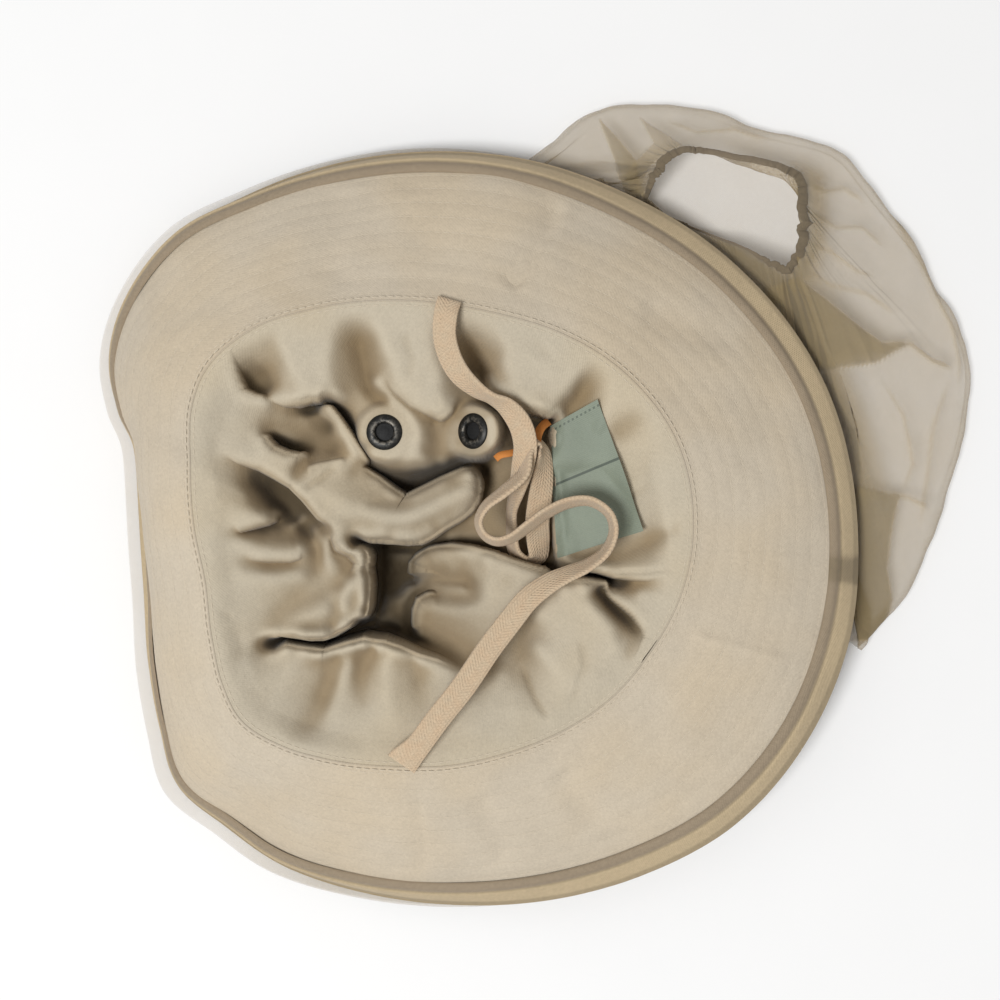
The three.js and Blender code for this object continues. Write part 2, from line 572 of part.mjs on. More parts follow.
// The net's middle surface: the first sections hang from the brim's edge, the others are loops.
function netPoint(rim, row, i) {
  const near = smooth((Math.cos(THREE.MathUtils.degToRad(rim.turn - NET_HEADING)) + 0.6) / 1.6);
  const up = mix(row.low, row.high, near);
  if (i < NET_ON_RIM) {
    const tip = hemTip(rim);
    const reach = mix(rim.edge + rim.skirt * row.skirt, tip.x, row.hang);
    return polar(rim, reach, Math.max(NET_CLOTH / 2, mix(up, tip.y - HEM.toNet, row.hang)));
  }
  const heading = THREE.MathUtils.degToRad(row.heading);
  const turn = THREE.MathUtils.degToRad(rim.turn - NET_HEADING);
  const along = new THREE.Vector3(Math.cos(heading), Math.sin(heading), 0);
  const aside = new THREE.Vector3(-along.y, along.x, 0);
  const squared = (value) => Math.sign(value) * Math.abs(value) ** NET_LOOP.square;
  const right = Math.max(0, -Math.sin(turn));
  const far = row.far * (1 - NET_LOOP.rightFar * right);
  const reach = squared(Math.cos(turn)) * (Math.cos(turn) > 0 ? row.near : -far);
  const across = row.across * (1 - NET_LOOP.rightAcross * right) * squared(Math.sin(turn));
  const at = new THREE.Vector3(row.x, row.y, up).addScaledVector(along, reach).addScaledVector(aside, across);
  return i < NET_OVER ? at : at.setZ(Math.min(up, lidAt(at)));
}

// Both faces of the net: its middle surface moved half the cloth either way along its normal.
function netFaces(rims) {
  const middle = NET_SECTIONS.map((row, i) => rims.map((rim) => netPoint(rim, row, i)));
  const last = middle.length - 1;
  const shifted = (side) => middle.map((loop, i) => loop.map((at, j) => {
    const count = loop.length;
    const round = loop[(j + 1) % count].clone().sub(loop[(j + count - 1) % count]);
    const run = middle[Math.min(last, i + 1)][j].clone().sub(middle[Math.max(0, i - 1)][j]);
    const normal = round.cross(run).normalize();
    const moved = at.clone().addScaledVector(normal, (side * NET_CLOTH) / 2);
    return moved.setZ(Math.max(side * normal.z > 0 ? NET_CLOTH : 0, moved.z));
  }));
  return { inner: shifted(-1), outer: shifted(1) };
}

// One length of the net, from one row of its sections to another, a little short at either end.
function netPart({ inner, outer }, { name, from, to }) {
  const drawIn = (end, next, by) => end.addScaledVector(next.clone().sub(end).normalize(), by);
  const cut = (loops, j) => {
    const line = loops.slice(from, to + 1).map((loop) => loop[j].clone());
    const last = line.length - 1;
    if (from > 0) drawIn(line[0], line[1], NET_PART_GAP);
    if (to < loops.length - 1) drawIn(line[last], line[last - 1], NET_PART_GAP);
    return line;
  };
  const sections = inner[0].map((_, j) => [...cut(outer, j), ...cut(inner, j).reverse()]);
  return piece(name, sweepRound(sections), COLOURS.net);
}

// The casing round the net's open end is a flattened ring that runs on from the net's last section.
function elasticSections({ inner, outer }) {
  const last = inner.length - 1;
  return inner[last].map((_, j) => {
    const middle = inner[last][j].clone().add(outer[last][j]).multiplyScalar(0.5);
    const before = inner[last - 1][j].clone().add(outer[last - 1][j]).multiplyScalar(0.5);
    const run = middle.clone().sub(before).normalize();
    const lift = outer[last][j].clone().sub(inner[last][j]).normalize();
    const corner = (on, up) => middle.clone().addScaledVector(run, on).addScaledVector(lift, up);
    const [start, end, half] = [ELASTIC.clear, ELASTIC.clear + ELASTIC.wide, ELASTIC.thick / 2];
    return [
      corner(start, half), corner(end, half / 2), corner(end, -half / 2), corner(start, -half),
    ];
  });
}

// Whether a place is over the label, with a margin.
function overLabel(x, y) {
  return LABEL_CORNERS.every(([ax, ay], i) => {
    const [bx, by] = LABEL_CORNERS[(i + 1) % LABEL_CORNERS.length];
    const far = ((bx - ax) * (y - ay) - (by - ay) * (x - ax)) / Math.hypot(bx - ax, by - ay);
    return far < LABEL_GRID.margin;
  });
}

function buildLabel() {
  const { along, across, clear } = LABEL_GRID;
  const corners = LABEL_CORNERS.map(([x, y]) => new THREE.Vector2(x, y));
  const rows = Array.from({ length: along + 1 }, (_, i) =>
    Array.from({ length: across + 1 }, (_, j) => {
      const left = corners[0].clone().lerp(corners[3], i / along);
      const at = left.lerp(corners[1].clone().lerp(corners[2], i / along), j / across);
      return new THREE.Vector3(at.x, at.y, crownSeat(at.x, at.y) + clear);
    }));
  const lifted = (row, up) => row.map((p) => p.clone().setZ(p.z + up));
  return piece("label", slab(rows.map((row) => lifted(row, LABEL_CLOTH)), rows), COLOURS.label);
}

// A closed sheet from two grids of points, the upper and the under one.
function slab(upper, under) {
  const positions = [];
  const quad = (a, b, c, d) => positions.push(a, b, c, a, c, d);
  const [rows, cols] = [upper.length - 1, upper[0].length - 1];
  for (let i = 0; i < rows; i++) {
    for (let j = 0; j < cols; j++) {
      quad(upper[i][j], upper[i + 1][j], upper[i + 1][j + 1], upper[i][j + 1]);
      quad(under[i][j], under[i][j + 1], under[i + 1][j + 1], under[i + 1][j]);
    }
    quad(upper[i][0], under[i][0], under[i + 1][0], upper[i + 1][0]);
    quad(upper[i + 1][cols], under[i + 1][cols], under[i][cols], upper[i][cols]);
  }
  for (let j = 0; j < cols; j++) {
    quad(upper[0][j + 1], under[0][j + 1], under[0][j], upper[0][j]);
    quad(upper[rows][j], under[rows][j], under[rows][j + 1], upper[rows][j + 1]);
  }
  return facesOf(positions);
}

// The tape's sections: each is lifted off the crown and the label, where it would touch them.
function tapeSections() {
  const curve = new THREE.CatmullRomCurve3(
    TAPE_ROUTE.map(({ x, y, up }) => new THREE.Vector3(x, y, up)), false, "centripetal");
  const shares = Array.from({ length: TAPE.steps + 1 }, (_, i) => curve.getUtoTmapping(i / TAPE.steps));
  const frames = shares.map((t) => {
    const at = curve.getPoint(t);
    const run = curve.getTangent(t);
    const roll = THREE.MathUtils.degToRad(column(TAPE_ROUTE, "roll", t * (TAPE_ROUTE.length - 1), false));
    const wide = new THREE.Vector3(-run.y, run.x, 0).normalize().applyAxisAngle(run, roll);
    return { at, wide, thick: run.clone().cross(wide) };
  });
  const corner = ({ at, wide, thick }, on, up) =>
    at.clone().addScaledVector(wide, (on * TAPE.wide) / 2).addScaledVector(thick, (up * TAPE.thick) / 2);
  const outline = [[-1, 0], [-0.85, 1], [0.85, 1], [1, 0], [0.85, -1], [-0.85, -1]];
  const short = frames.map((frame) => {
    const places = outline.map(([on, up]) => corner(frame, on, up));
    return Math.max(0, ...places.map((p) => bedUp(p.x, p.y) + TAPE.clear - p.z));
  });
  const lift = short.map((_, i) => Math.max(...short.slice(Math.max(0, i - 1), i + 2)));
  return frames.map((frame, i) => {
    frame.at.z += lift[i];
    return outline.map(([on, up]) => corner(frame, on, up));
  });
}

const bedUp = (x, y) =>
  crownSeat(x, y) + (overLabel(x, y) ? LABEL_GRID.clear + LABEL_CLOTH : 0);

const group = new THREE.Group();
const rims = stepsRound(NET_ROUND);
const net = netFaces(rims);
group.add(
  buildBrim(),
  ...buildCrown(),
  buildHem(),
  ...NET_PARTS.map((part) => netPart(net, part)),
  piece("neck_elastic", sweepRound(elasticSections(net)), COLOURS.elastic),
  ...EYELETS.flatMap(buildEyelet),
  buildLabel(),
  piece("chin_tape", sweepAlong(tapeSections()), COLOURS.tape),
);

export default group;
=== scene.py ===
"""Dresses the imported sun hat: its crumpled cloth, hem, see-through net, tape, eyelets and label."""
import math
from functools import lru_cache

import bpy
import numpy as np
from bpy.props import FloatProperty, FloatVectorProperty, IntProperty, PointerProperty
from mathutils import Matrix, Vector


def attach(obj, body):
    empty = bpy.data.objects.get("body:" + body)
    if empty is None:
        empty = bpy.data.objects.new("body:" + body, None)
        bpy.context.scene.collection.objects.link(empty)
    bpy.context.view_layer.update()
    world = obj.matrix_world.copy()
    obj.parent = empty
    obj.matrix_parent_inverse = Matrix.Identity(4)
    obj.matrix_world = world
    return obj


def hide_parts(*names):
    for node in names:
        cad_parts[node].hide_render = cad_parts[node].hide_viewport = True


bl_info = {
    "name": "Sun Hat With Net",
    "version": (1, 0, 0),
    "blender": (4, 5, 0),
    "location": "View3D > Sidebar > Sun Hat",
    "description": "Makes the visible cloth, net and trim of an upturned sun hat",
    "category": "Object",
}

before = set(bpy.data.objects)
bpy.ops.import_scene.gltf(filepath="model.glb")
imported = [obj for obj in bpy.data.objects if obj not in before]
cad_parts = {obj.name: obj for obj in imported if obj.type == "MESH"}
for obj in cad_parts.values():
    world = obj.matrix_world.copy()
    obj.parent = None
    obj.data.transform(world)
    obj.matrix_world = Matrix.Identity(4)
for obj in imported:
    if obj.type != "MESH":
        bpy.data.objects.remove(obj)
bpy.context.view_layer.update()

# Sizes are in millimetres up to the meshes, which are in metres.
MM = 0.001
# The brim's thickness and width, the crown's lowest cloth, and the middle of its hollow.
BRIM_CLOTH = 2.4
BRIM_WIDE = 64
CROWN_LOWEST = 3.4
HOLLOW = (-20, -18)
# How long the cloth is round each piece, in metres, for its weave.
ROUND = {"crown": 0.6, "brim": 0.82, "net": 0.95, "neck": 0.3}
HEM = {"on_brim": 6, "wide": 7.4, "lowest": 3, "stand": 1.8, "to_net": 2.7}
LABEL_CORNERS = [(43, 41), (61, 51), (79, 0), (46, -11)]
LABEL_CLEAR = 2.3

# The brim's stations: degrees from +X, seam and edge with their heights, bow between them, and how
# far the hem band and the net stand out past the edge.
RIM_COLUMNS = ("turn", "seam", "seam_up", "edge", "edge_up", "bow", "hem", "skirt")
RIM = [
    (0, 98, 45, 159, 25, 2, 7, 6),
    (20, 98, 45.5, 157, 21, 2, 7.3, 6),
    (40, 94, 47, 152, 19.5, 2, 7.3, 5),
    (60, 89, 50, 147, 23, 2, 6.8, 5),
    (75, 86.5, 51.5, 146, 26, 3, 6, 7),
    (90, 87.5, 52.5, 146.5, 26, 2, 5, 8.5),
    (105, 91.5, 53.5, 148.5, 23, 2, 4.6, 8),
    (120, 98, 54.5, 153, 19, 3, 3.6, 7),
    (132, 105, 55, 159, 15, 3, 2.4, 6.5),
    (144, 108.5, 56, 157, 11, 4, 2, 6),
    (153, 106, 56, 150, 9, 5, 2.4, 6.5),
    (160, 101.5, 56, 138, 8, 7, 3.5, 8),
    (166, 98, 56, 125, 7.5, 10, 5, 11),
    (178, 94, 56, 118.5, 7, 10, 5.8, 12),
    (192, 91.5, 56, 119.5, 7, 10, 5.5, 11),
    (205, 96, 55.5, 128.5, 7, 8, 4.2, 9),
    (215, 101.5, 55, 138, 7.2, 6, 3.4, 7),
    (224, 105, 54, 147.5, 8, 4, 3.2, 6),
    (234, 102, 53.5, 146.5, 9.5, 3, 4, 6),
    (244, 97.5, 52.5, 148, 11, 3, 4, 6),
    (258, 92.5, 51, 146, 14, 2, 5, 6.5),
    (272, 90.5, 50, 145.5, 17, 2, 6.2, 7.5),
    (286, 89.5, 49, 147.5, 21, 2, 7, 8),
    (300, 90.5, 47.5, 151.5, 26, 2, 7.3, 7.5),
    (315, 92.5, 46.5, 157.5, 31, 2, 7.1, 6.5),
    (330, 94, 45.5, 160, 33, 2, 6.8, 6),
    (345, 96.5, 45, 160, 30, 2, 7.3, 6),
]

# Heights of the crumpled crown: x, y, height, how far it holds.
LEVELS = [
    (-87, 35, 51, 11), (-86, -4, 50, 11), (-79, -42, 49, 12), (-69, 27, 46, 7), (-56, 33, 32, 7),
    (-64, 12, 33, 7), (-60, 46, 41, 7), (-52, 64, 48, 10), (-31, 57, 40, 7), (-9, 66, 49, 10),
    (-22, 38, 42, 8), (-1, 38, 38, 6), (22, 38, 48, 7), (-46, 13, 43, 8), (-21, 6, 39, 8),
    (8, 15, 33, 8), (-20, -18, 4, 8), (-12, -35, 13, 7), (5, -11, 23, 6), (4, -33, 27, 7),
    (-34, -15, 41, 6), (-50, -33, 45, 9), (-54, -52, 44, 9), (-27, -50, 40, 8), (0, -57, 37, 8),
    (56, -40, 44, 12), (62, -19, 24, 6), (85, -7, 41, 8), (40, 64, 47, 11), (15, 70, 41, 6),
    (58, 43, 38, 9), (58, 4, 31, 9), (85, 24, 43, 9), (31, -9, 16, 7), (35, 40, 22, 5),
    (25, -48, 35, 7), (22, -68, 43, 9),
]

# The crown's wide creases: depth, half widths left and right of the path, path.
CREASES = [
    (20, 3, 4, [(-46, 49), (-40, 42), (-29, 24), (-15, 16), (-5, 18), (14, 27), (26, 38)]),
    (14, 3, 4, [(-34, -4), (-21, -5), (-9, -5), (0, 0), (14, 8)]),
    (7, 3, 5, [(-82, 28), (-70, 24), (-57, 16), (-45, 4)]),
    (12, 3, 3, [(-67, -42), (-57, -41), (-45, -46), (-36, -42), (-29, -38)]),
    (7, 5, 3, [(-79, 68), (-76, 56), (-67, 50), (-52, 48)]),
    (6, 4, 7, [(-37, 82), (-32, 66), (-28, 56), (-20, 49)]),
    (6, 4, 8, [(-40, -53), (-46, -65), (-52, -76)]),
    (7, 4, 7, [(62, -21), (78, -36), (80, -41), (75, -53)]),
    (5, 4, 4, [(32, -36), (31, -52), (40, -70)]),
    (5, 3, 6, [(59, 67), (56, 58), (47, 46)]),
]

# The lips, where the cloth rolls over a lower stretch: overhang, then x, y, height of the upper
# cloth on the path's left, height of the lower cloth on its right.
LIPS = {
    "upper left pad": (1.5, [
        (-66, 52, 48, 47), (-60, 49.5, 48, 44), (-55, 49.5, 47.5, 36), (-50, 51, 47, 28),
        (-45, 51, 46.5, 28)]),
    "notch": (1, [
        (-66, 51.5, 49, 44), (-71, 52.5, 50, 42), (-75, 54.5, 51, 41), (-77.5, 60, 52, 42),
        (-80, 67, 52.5, 47), (-82, 72, 53, 52)]),
    "right crease": (1, [
        (63, -22, 44, 31), (68, -27, 44, 32), (75, -33, 44.5, 34), (79, -38, 45, 36),
        (80, -41, 45.5, 37.5), (77.5, -47, 46.5, 41), (75, -52, 47.5, 45.5)]),
    "vent pad, left": (2.5, [
        (-29, 24.5, 39, 28), (-31, 29, 41, 27), (-36, 37, 42, 27), (-41, 44, 43.5, 28),
        (-46, 50.5, 45, 29)]),
    "roll, upper": (1.5, [
        (13.8, 26.5, 31, 13), (8, 24, 31.5, 13), (0, 20.5, 32, 12), (-7, 17, 32.5, 12),
        (-14, 13.5, 33.5, 13), (-18, 16, 34, 16), (-24, 20.5, 35, 22), (-29, 23.5, 36.5, 28),
        (-33, 26, 38.5, 34)]),
    "roll, lower": (2.5, [
        (-34, -2.5, 40, 30), (-30, -3, 37.5, 14), (-25, -3.2, 36, 8), (-19, -3.6, 35, 7),
        (-13, -4, 34, 8), (-8, -3.6, 33.5, 9), (-4, -1.5, 33, 12), (1, 2, 32.5, 13), (7, 5.4, 32, 13),
        (11, 8.4, 31.5, 13), (13.6, 12.3, 31.5, 13), (14.6, 17, 32, 13), (14.4, 22, 31.5, 13),
        (13.4, 26.2, 31, 13)]),
    "over the vents": (1, [
        (-22, 60, 46.5, 44.5), (-17, 54, 47, 43), (-11, 49, 47, 43), (-6, 46.5, 47, 42),
        (0, 43.5, 46, 38), (4, 45, 46, 37), (6.5, 50, 45.5, 38)]),
    "upper right bulge": (3, [
        (17, 57, 45, 30), (22, 54, 45.5, 22), (28, 51, 46, 18), (33, 49, 46, 16), (38, 47.5, 45.5, 16),
        (42, 46.5, 44.5, 19), (45, 44.5, 43, 28)]),
    "label wall": (1, [
        (45, 44, 38, 26), (43, 38, 36.5, 20), (43, 28, 34.5, 17), (43.5, 15, 32.5, 15),
        (44.5, 2, 30.5, 14), (46, -10, 29.5, 15), (47, -14, 30, 20)]),
    "side seam": (1, [
        (50, -14.5, 33, 22), (56, -15.5, 36.5, 17), (62, -16.5, 39.5, 18), (68, -18, 42, 29),
        (76, -18.5, 43.5, 39), (86, -18.5, 44.8, 43)]),
    "lower right bulge": (1.5, [
        (67, -21, 41, 22), (62, -20, 42.5, 16), (56, -19.3, 43, 15), (50, -19.5, 42.5, 18),
        (44, -20.5, 40, 26)]),
    "lower lobe": (1.5, [
        (10, -54, 38, 31), (0, -51, 39.5, 26), (-8, -48.5, 41, 20), (-15, -45.5, 42, 15),
        (-22, -43, 43, 10), (-30, -42, 43.5, 8), (-37, -43.6, 44, 9), (-45, -46.2, 44.5, 14),
        (-52, -45.2, 45, 20), (-60, -43.8, 45.5, 27), (-65, -45, 46, 36)]),
    "over the slit": (1, [
        (-68, -42, 48.5, 42), (-62, -40.5, 48, 28), (-56, -41.4, 47.5, 21), (-50, -42.4, 47, 15),
        (-45, -42.4, 46, 11), (-41, -41, 45, 9), (-36, -38, 43.5, 8), (-31, -35, 42, 7)]),
    "left flap": (1.5, [
        (-30, -36, 40, 8), (-28.5, -30, 39.5, 6), (-28, -22, 39, 5), (-28.5, -15, 39, 5),
        (-28, -10, 40, 7), (-29.5, -5, 42, 11)]),
    "upper pocket": (1.5, [
        (-51, 30, 42, 35), (-55, 29.5, 45, 31), (-59.5, 30.5, 46.5, 30), (-64, 32.5, 47, 31),
        (-66.5, 35, 47.5, 35), (-68.5, 38.5, 48, 44)]),
    "left pocket": (2, [
        (-83, 29.5, 52.5, 51.8), (-76, 27.5, 51, 48), (-70, 25, 49.5, 40), (-64, 21.5, 48, 32),
        (-58, 18, 47, 31), (-53, 13, 46, 32), (-48, 7, 45, 34), (-43, 1, 44, 38)]),
    "left tongue": (1.5, [
        (-79, 0.5, 52.4, 51), (-73, 1.8, 51, 43), (-67, 3.5, 48.5, 37), (-63, 5.5, 42, 35)]),
    "under the small roll": (1, [
        (-75, -10, 51, 50), (-66, -11.2, 49.2, 45.5), (-58, -11.2, 47.2, 43.5), (-53, -9.5, 45.5, 43)]),
    "flap crease": (0.8, [
        (-42.5, -0.5, 43.5, 41), (-40.5, -7, 43.5, 39.5), (-36, -9.5, 43.2, 39),
        (-33.5, -12.5, 42.8, 39), (-35, -17.5, 42.3, 40)]),
    "roll, left end": (1, [
        (-37, 27.5, 41.5, 39), (-43, 26.5, 42.5, 39.5), (-48, 25.5, 43.5, 40.5), (-52, 24, 44.5, 42)]),
    "inner lobe": (4, [
        (47, -19.5, 34, 22), (42, -18.5, 33, 14), (36, -17, 32, 12), (28, -14.5, 31, 12),
        (20, -11.5, 29.5, 11), (12, -9.5, 27, 11), (4, -8.5, 22, 10), (-3, -9.5, 18, 9),
        (-8, -12, 15, 7), (-11.5, -16, 12, 6), (-9.5, -20.5, 12, 6)]),
    "inner lobe, left": (1.2, [
        (-1, -25.3, 18, 16), (-6, -25.8, 18.5, 13), (-9.8, -28, 19, 10.5), (-11.3, -32, 19.5, 9.5),
        (-11.5, -37, 19.5, 9.5), (-11, -41, 19.5, 11)]),
}

# Crests and valleys that the cloth runs through: x, y, height.
LINES = {
    "notch, valley": [(-76, 71, 49), (-72, 66, 43), (-69, 61, 41), (-66, 56, 42)],
    "second notch": [(-64, 79, 52.5), (-66, 72, 48), (-70, 66.5, 45.5)],
    "upper left pad": [(-61, 74, 52.5), (-57, 65, 51.5), (-52, 57, 50.5), (-48, 54, 49.5)],
    "valley, west crest": [
        (-40.5, 85, 53), (-42, 76, 51.5), (-43, 66, 50.5), (-43, 58, 49), (-40.5, 51.5, 46.5)],
    "valley": [
        (-36, 84, 51.5), (-32.5, 77, 43), (-30.5, 69, 38.5), (-29, 61, 36.5), (-25.5, 54.5, 36.5),
        (-21.5, 51, 39)],
    "pad over the vents": [(-24, 80, 52), (-20, 70, 51), (-16, 61, 49.5), (-8, 56, 49), (0, 52, 48)],
    "pad over the vents, right": [(-6, 80, 52), (-3, 68, 50.5), (0, 58, 48.5)],
    "vent ridge": [
        (-26, 57.5, 44.5), (-21, 54, 44.5), (-16, 49.5, 44.5), (-11, 45, 44.5), (-8, 38, 44.5),
        (-9, 31, 43)],
    "vent, left valley": [(-33, 49, 38), (-32.5, 42, 37.5), (-31, 35, 38.5)],
    "vent shoulder": [(-28, 30, 41.5), (-21, 28.5, 42), (-13, 27.5, 41), (-6, 27, 39)],
    "between the vents": [(-3, 46, 41), (-1, 40, 36.5), (0, 33, 34), (1, 27, 30)],
    "vent gap": [
        (-26, 25, 31), (-20, 20.5, 24), (-14, 18, 18), (-6, 21, 17), (2, 24.5, 17), (10, 27.5, 17),
        (20, 30, 17)],
    "right vent": [(5, 44, 38.5), (4, 36, 36.5), (5, 31, 34)],
    "right vent, far": [(20, 44, 46), (21, 38, 46), (19, 32, 42)],
    "beside the tape": [(8, 84, 50), (11, 76, 41), (13, 68, 36.5), (15, 60, 33), (19, 53, 30)],
    "upper right bulge": [(22, 81, 51.5), (27, 72, 50.5), (38, 67, 50.5), (44, 61, 50)],
    "upper right bulge, low": [(26, 66, 50), (30, 58, 49), (38, 54, 48.5), (44, 52, 47.5)],
    "right of the bulge": [
        (64, 67, 46.5), (61, 62.5, 41), (57, 57, 38.5), (53, 51, 37.5), (49, 46, 37)],
    "bulge shoulder": [(56, 67, 49), (51, 59, 48.5), (46, 51.5, 46.5)],
    "right wall": [(68, 58, 46), (66, 48, 43.5), (62, 40, 42)],
    "right wall, far": [(88, 30, 45), (88, 12, 44.5), (90, -8, 44.5)],
    "right wall, low": [(74, 32, 41), (75, 18, 39.5), (76, 5, 38)],
    "right dimple": [(83, 47, 43.5), (76, 43, 39.5), (69, 38, 39)],
    "label foot": [(64, 0, 34.5), (60, -8, 33), (52, -11, 31)],
    "valley over the seam": [
        (66, -11, 35), (74, -6.5, 35.5), (82, -4, 37), (89, -1, 40), (94, 4, 44.4)],
    "side seam": [(66, -14, 41.5), (76, -15, 44), (90, -15.5, 45)],
    "lower right bulge": [
        (38, -33, 43.5), (45, -27, 45), (52, -25.5, 45.8), (59, -28, 46), (65, -36, 46.3), (69, -46, 47)],
    "lower right bulge, low": [(38, -45, 45), (44, -52, 47), (52, -58, 48), (62, -58, 48)],
    "right crease": [(58, -26, 44), (64, -31, 42.5), (70, -37, 42), (73, -43, 43.5)],
    "past the right crease": [(78, -24, 43.5), (84, -31, 44.5), (86, -40, 46)],
    "left crease": [
        (34, -31, 36), (31.5, -38, 33.5), (30, -46, 34), (31.5, -53, 38.5), (36, -62, 43),
        (40, -69, 46), (43.5, -75, 49.2)],
    "lower wall": [(24, -56, 41), (20, -66, 45), (14, -76, 48)],
    "lower wall, right": [(29, -62, 43.5), (30, -71, 47)],
    "lower lobe valley": [
        (-40.5, -50, 42), (-43, -57, 40.5), (-46, -65, 41.5), (-50, -73, 45), (-56, -80, 49.8)],
    "lower lobe, left": [(-55, -48, 46), (-60, -56, 47.5), (-65, -66, 50), (-70, -75, 52)],
    "lower lobe dent": [(-26.5, -46, 41.5), (-30, -51, 39), (-31, -58, 40.5), (-30, -66, 44)],
    "lower lobe, middle": [(-35, -49, 43.5), (-38, -60, 44.5), (-42, -72, 47.5)],
    "lower lobe, crest": [(-21, -47, 43.8), (-20, -58, 45.5), (-19, -72, 48)],
    "lower lobe, right": [(-11, -50, 40.5), (-8, -58, 39.5), (-7, -66, 43), (-6, -76, 47.5)],
    "lower lobe, far right": [(2, -56, 41), (6, -68, 46)],
    "flap ridge": [(-30.5, -10.5, 44.5), (-33.5, -17, 45), (-36.5, -23, 45.5), (-38.5, -30, 46)],
    "flap groove": [(-39.5, -28, 43), (-41.5, -38, 43.5)],
    "flap, white": [(-36, -4, 44.5), (-32, -8, 44.5)],
    "left groove": [
        (-39, -20.5, 40.5), (-47, -22.5, 41.5), (-55, -26, 42.8), (-62, -31.5, 45), (-70, -40, 49),
        (-78, -48, 51.8)],
    "under the groove": [(-44, -30, 46), (-52, -33, 47.3), (-60, -38, 48.3)],
    "lower left": [(-74, -50, 52), (-72, -60, 52)],
    "left shelf": [
        (-86, 20, 55.2), (-86, 8, 55.2), (-86, -8, 54.8), (-84, -22, 54.3), (-82, -36, 53.4)],
    "left shelf, inner": [(-76, -17, 52.6), (-64, -18, 49.5), (-54, -17, 45.5)],
    "left tongue": [(-79, 8, 52.8), (-73, 8, 51.3), (-68.5, 7, 50)],
    "left tongue, side": [(-83, 21, 53), (-77, 15, 50), (-74, 11, 49)],
    "left pocket": [
        (-71.5, 20, 37), (-69, 17, 33), (-65, 13, 30), (-60, 7, 30), (-53, 1, 32), (-50, -3, 35)],
    "small roll": [(-78, -4, 52.3), (-70, -6, 50.5), (-61, -7, 48.5), (-54, -6.5, 46)],
    "small groove": [
        (-77.5, -1, 50.5), (-73, -0.4, 45.5), (-68, 0.2, 41), (-62, 1.5, 37.5), (-55, 3.5, 36)],
    "upright groove": [(-49, -0.5, 38.5), (-48.3, -8, 37.5), (-48, -16, 40)],
    "green patch": [(-44.5, -4, 42.3), (-43.5, -12, 42), (-41, -16.5, 41.5)],
    "crest A": [
        (-86, 36, 53), (-78, 32.5, 51.8), (-70, 29, 50.5), (-63, 24.5, 49.5), (-57.5, 21, 48.3)],
    "upper pocket": [(-66, 41, 43), (-61, 37, 37), (-56, 34, 32.5), (-51, 34, 32)],
    "pocket crease": [(-50.5, 31, 34), (-51.5, 27, 37.5), (-54, 23, 43), (-57, 19.8, 47)],
    "slope": [(-78, 44, 51.5), (-68, 45, 47), (-58, 44, 40), (-50, 43, 35), (-45, 40, 33)],
    "slope, low": [(-46, 35, 34), (-42, 31, 34.5)],
    "roll": [
        (-51, 18.5, 47), (-44, 14.5, 46), (-36, 10, 45), (-28, 7, 43.8), (-20, 5, 43), (-12, 5, 42.3),
        (-4, 9, 41.5), (4, 13, 40.5), (11, 16.5, 38.5)],
    "under the roll": [(2, -2, 12), (9, 2.5, 12), (15, 7, 13), (20, 13, 14)],
    "hollow": [(-26, -8, 5), (-25, -26, 4), (-18, -24, 4.5), (-14, -18, 5)],
    "warm strip": [(-22, -31, 8), (-16, -27, 10.5), (-11, -22.8, 12)],
    "dark slope": [(-25, -36, 8), (-19, -38, 10), (-14.5, -42, 12)],
    "inner bump": [(-9, -12, 18), (-6.5, -15, 18.5), (-2, -11.5, 22), (4, -12, 24.5), (5, -16.5, 23.5)],
    "inner bump, dent": [(-4, -9.8, 19), (-3.5, -15, 19.3)],
    "bump groove": [
        (-9, -20.8, 11.5), (-3, -20.7, 14.5), (3, -20.4, 17.5), (8, -20.8, 19.5), (11, -21.8, 20)],
    "lobe ledge": [(-3, -23.2, 17.5), (4, -23, 21), (9.5, -23.4, 24)],
    "lobe crease": [(2, -25.4, 19.5), (7, -25.6, 21.5), (11.5, -25.6, 24.5)],
    "inner lobe valley": [(14, -10.5, 27.5), (13.2, -15, 27.5), (12.6, -18.5, 27)],
    "inner lobe ridge": [(21, -13.5, 30.5), (20, -18, 31.5), (18, -23, 31.5), (19, -28, 32)],
    "inner lobe": [
        (-7, -30, 21), (-1, -30.5, 23), (7, -31, 26), (15, -31, 30), (24, -27, 33), (32, -21, 34.5)],
    "inner lobe, foot": [
        (-8, -39.5, 19), (-2, -42.5, 20), (5, -45.5, 23), (12, -48.5, 27), (20, -52, 33)],
    "cavity": [
        (24, 24, 16), (22, 14, 15), (24, 4, 15), (34, 0, 14), (36, 14, 15), (36, 30, 16), (36, 42, 17)],
    "trough": [(12, -2, 12), (18, -5, 12), (28, -9, 12), (36, -12, 12.5), (42, -14, 14)],
}

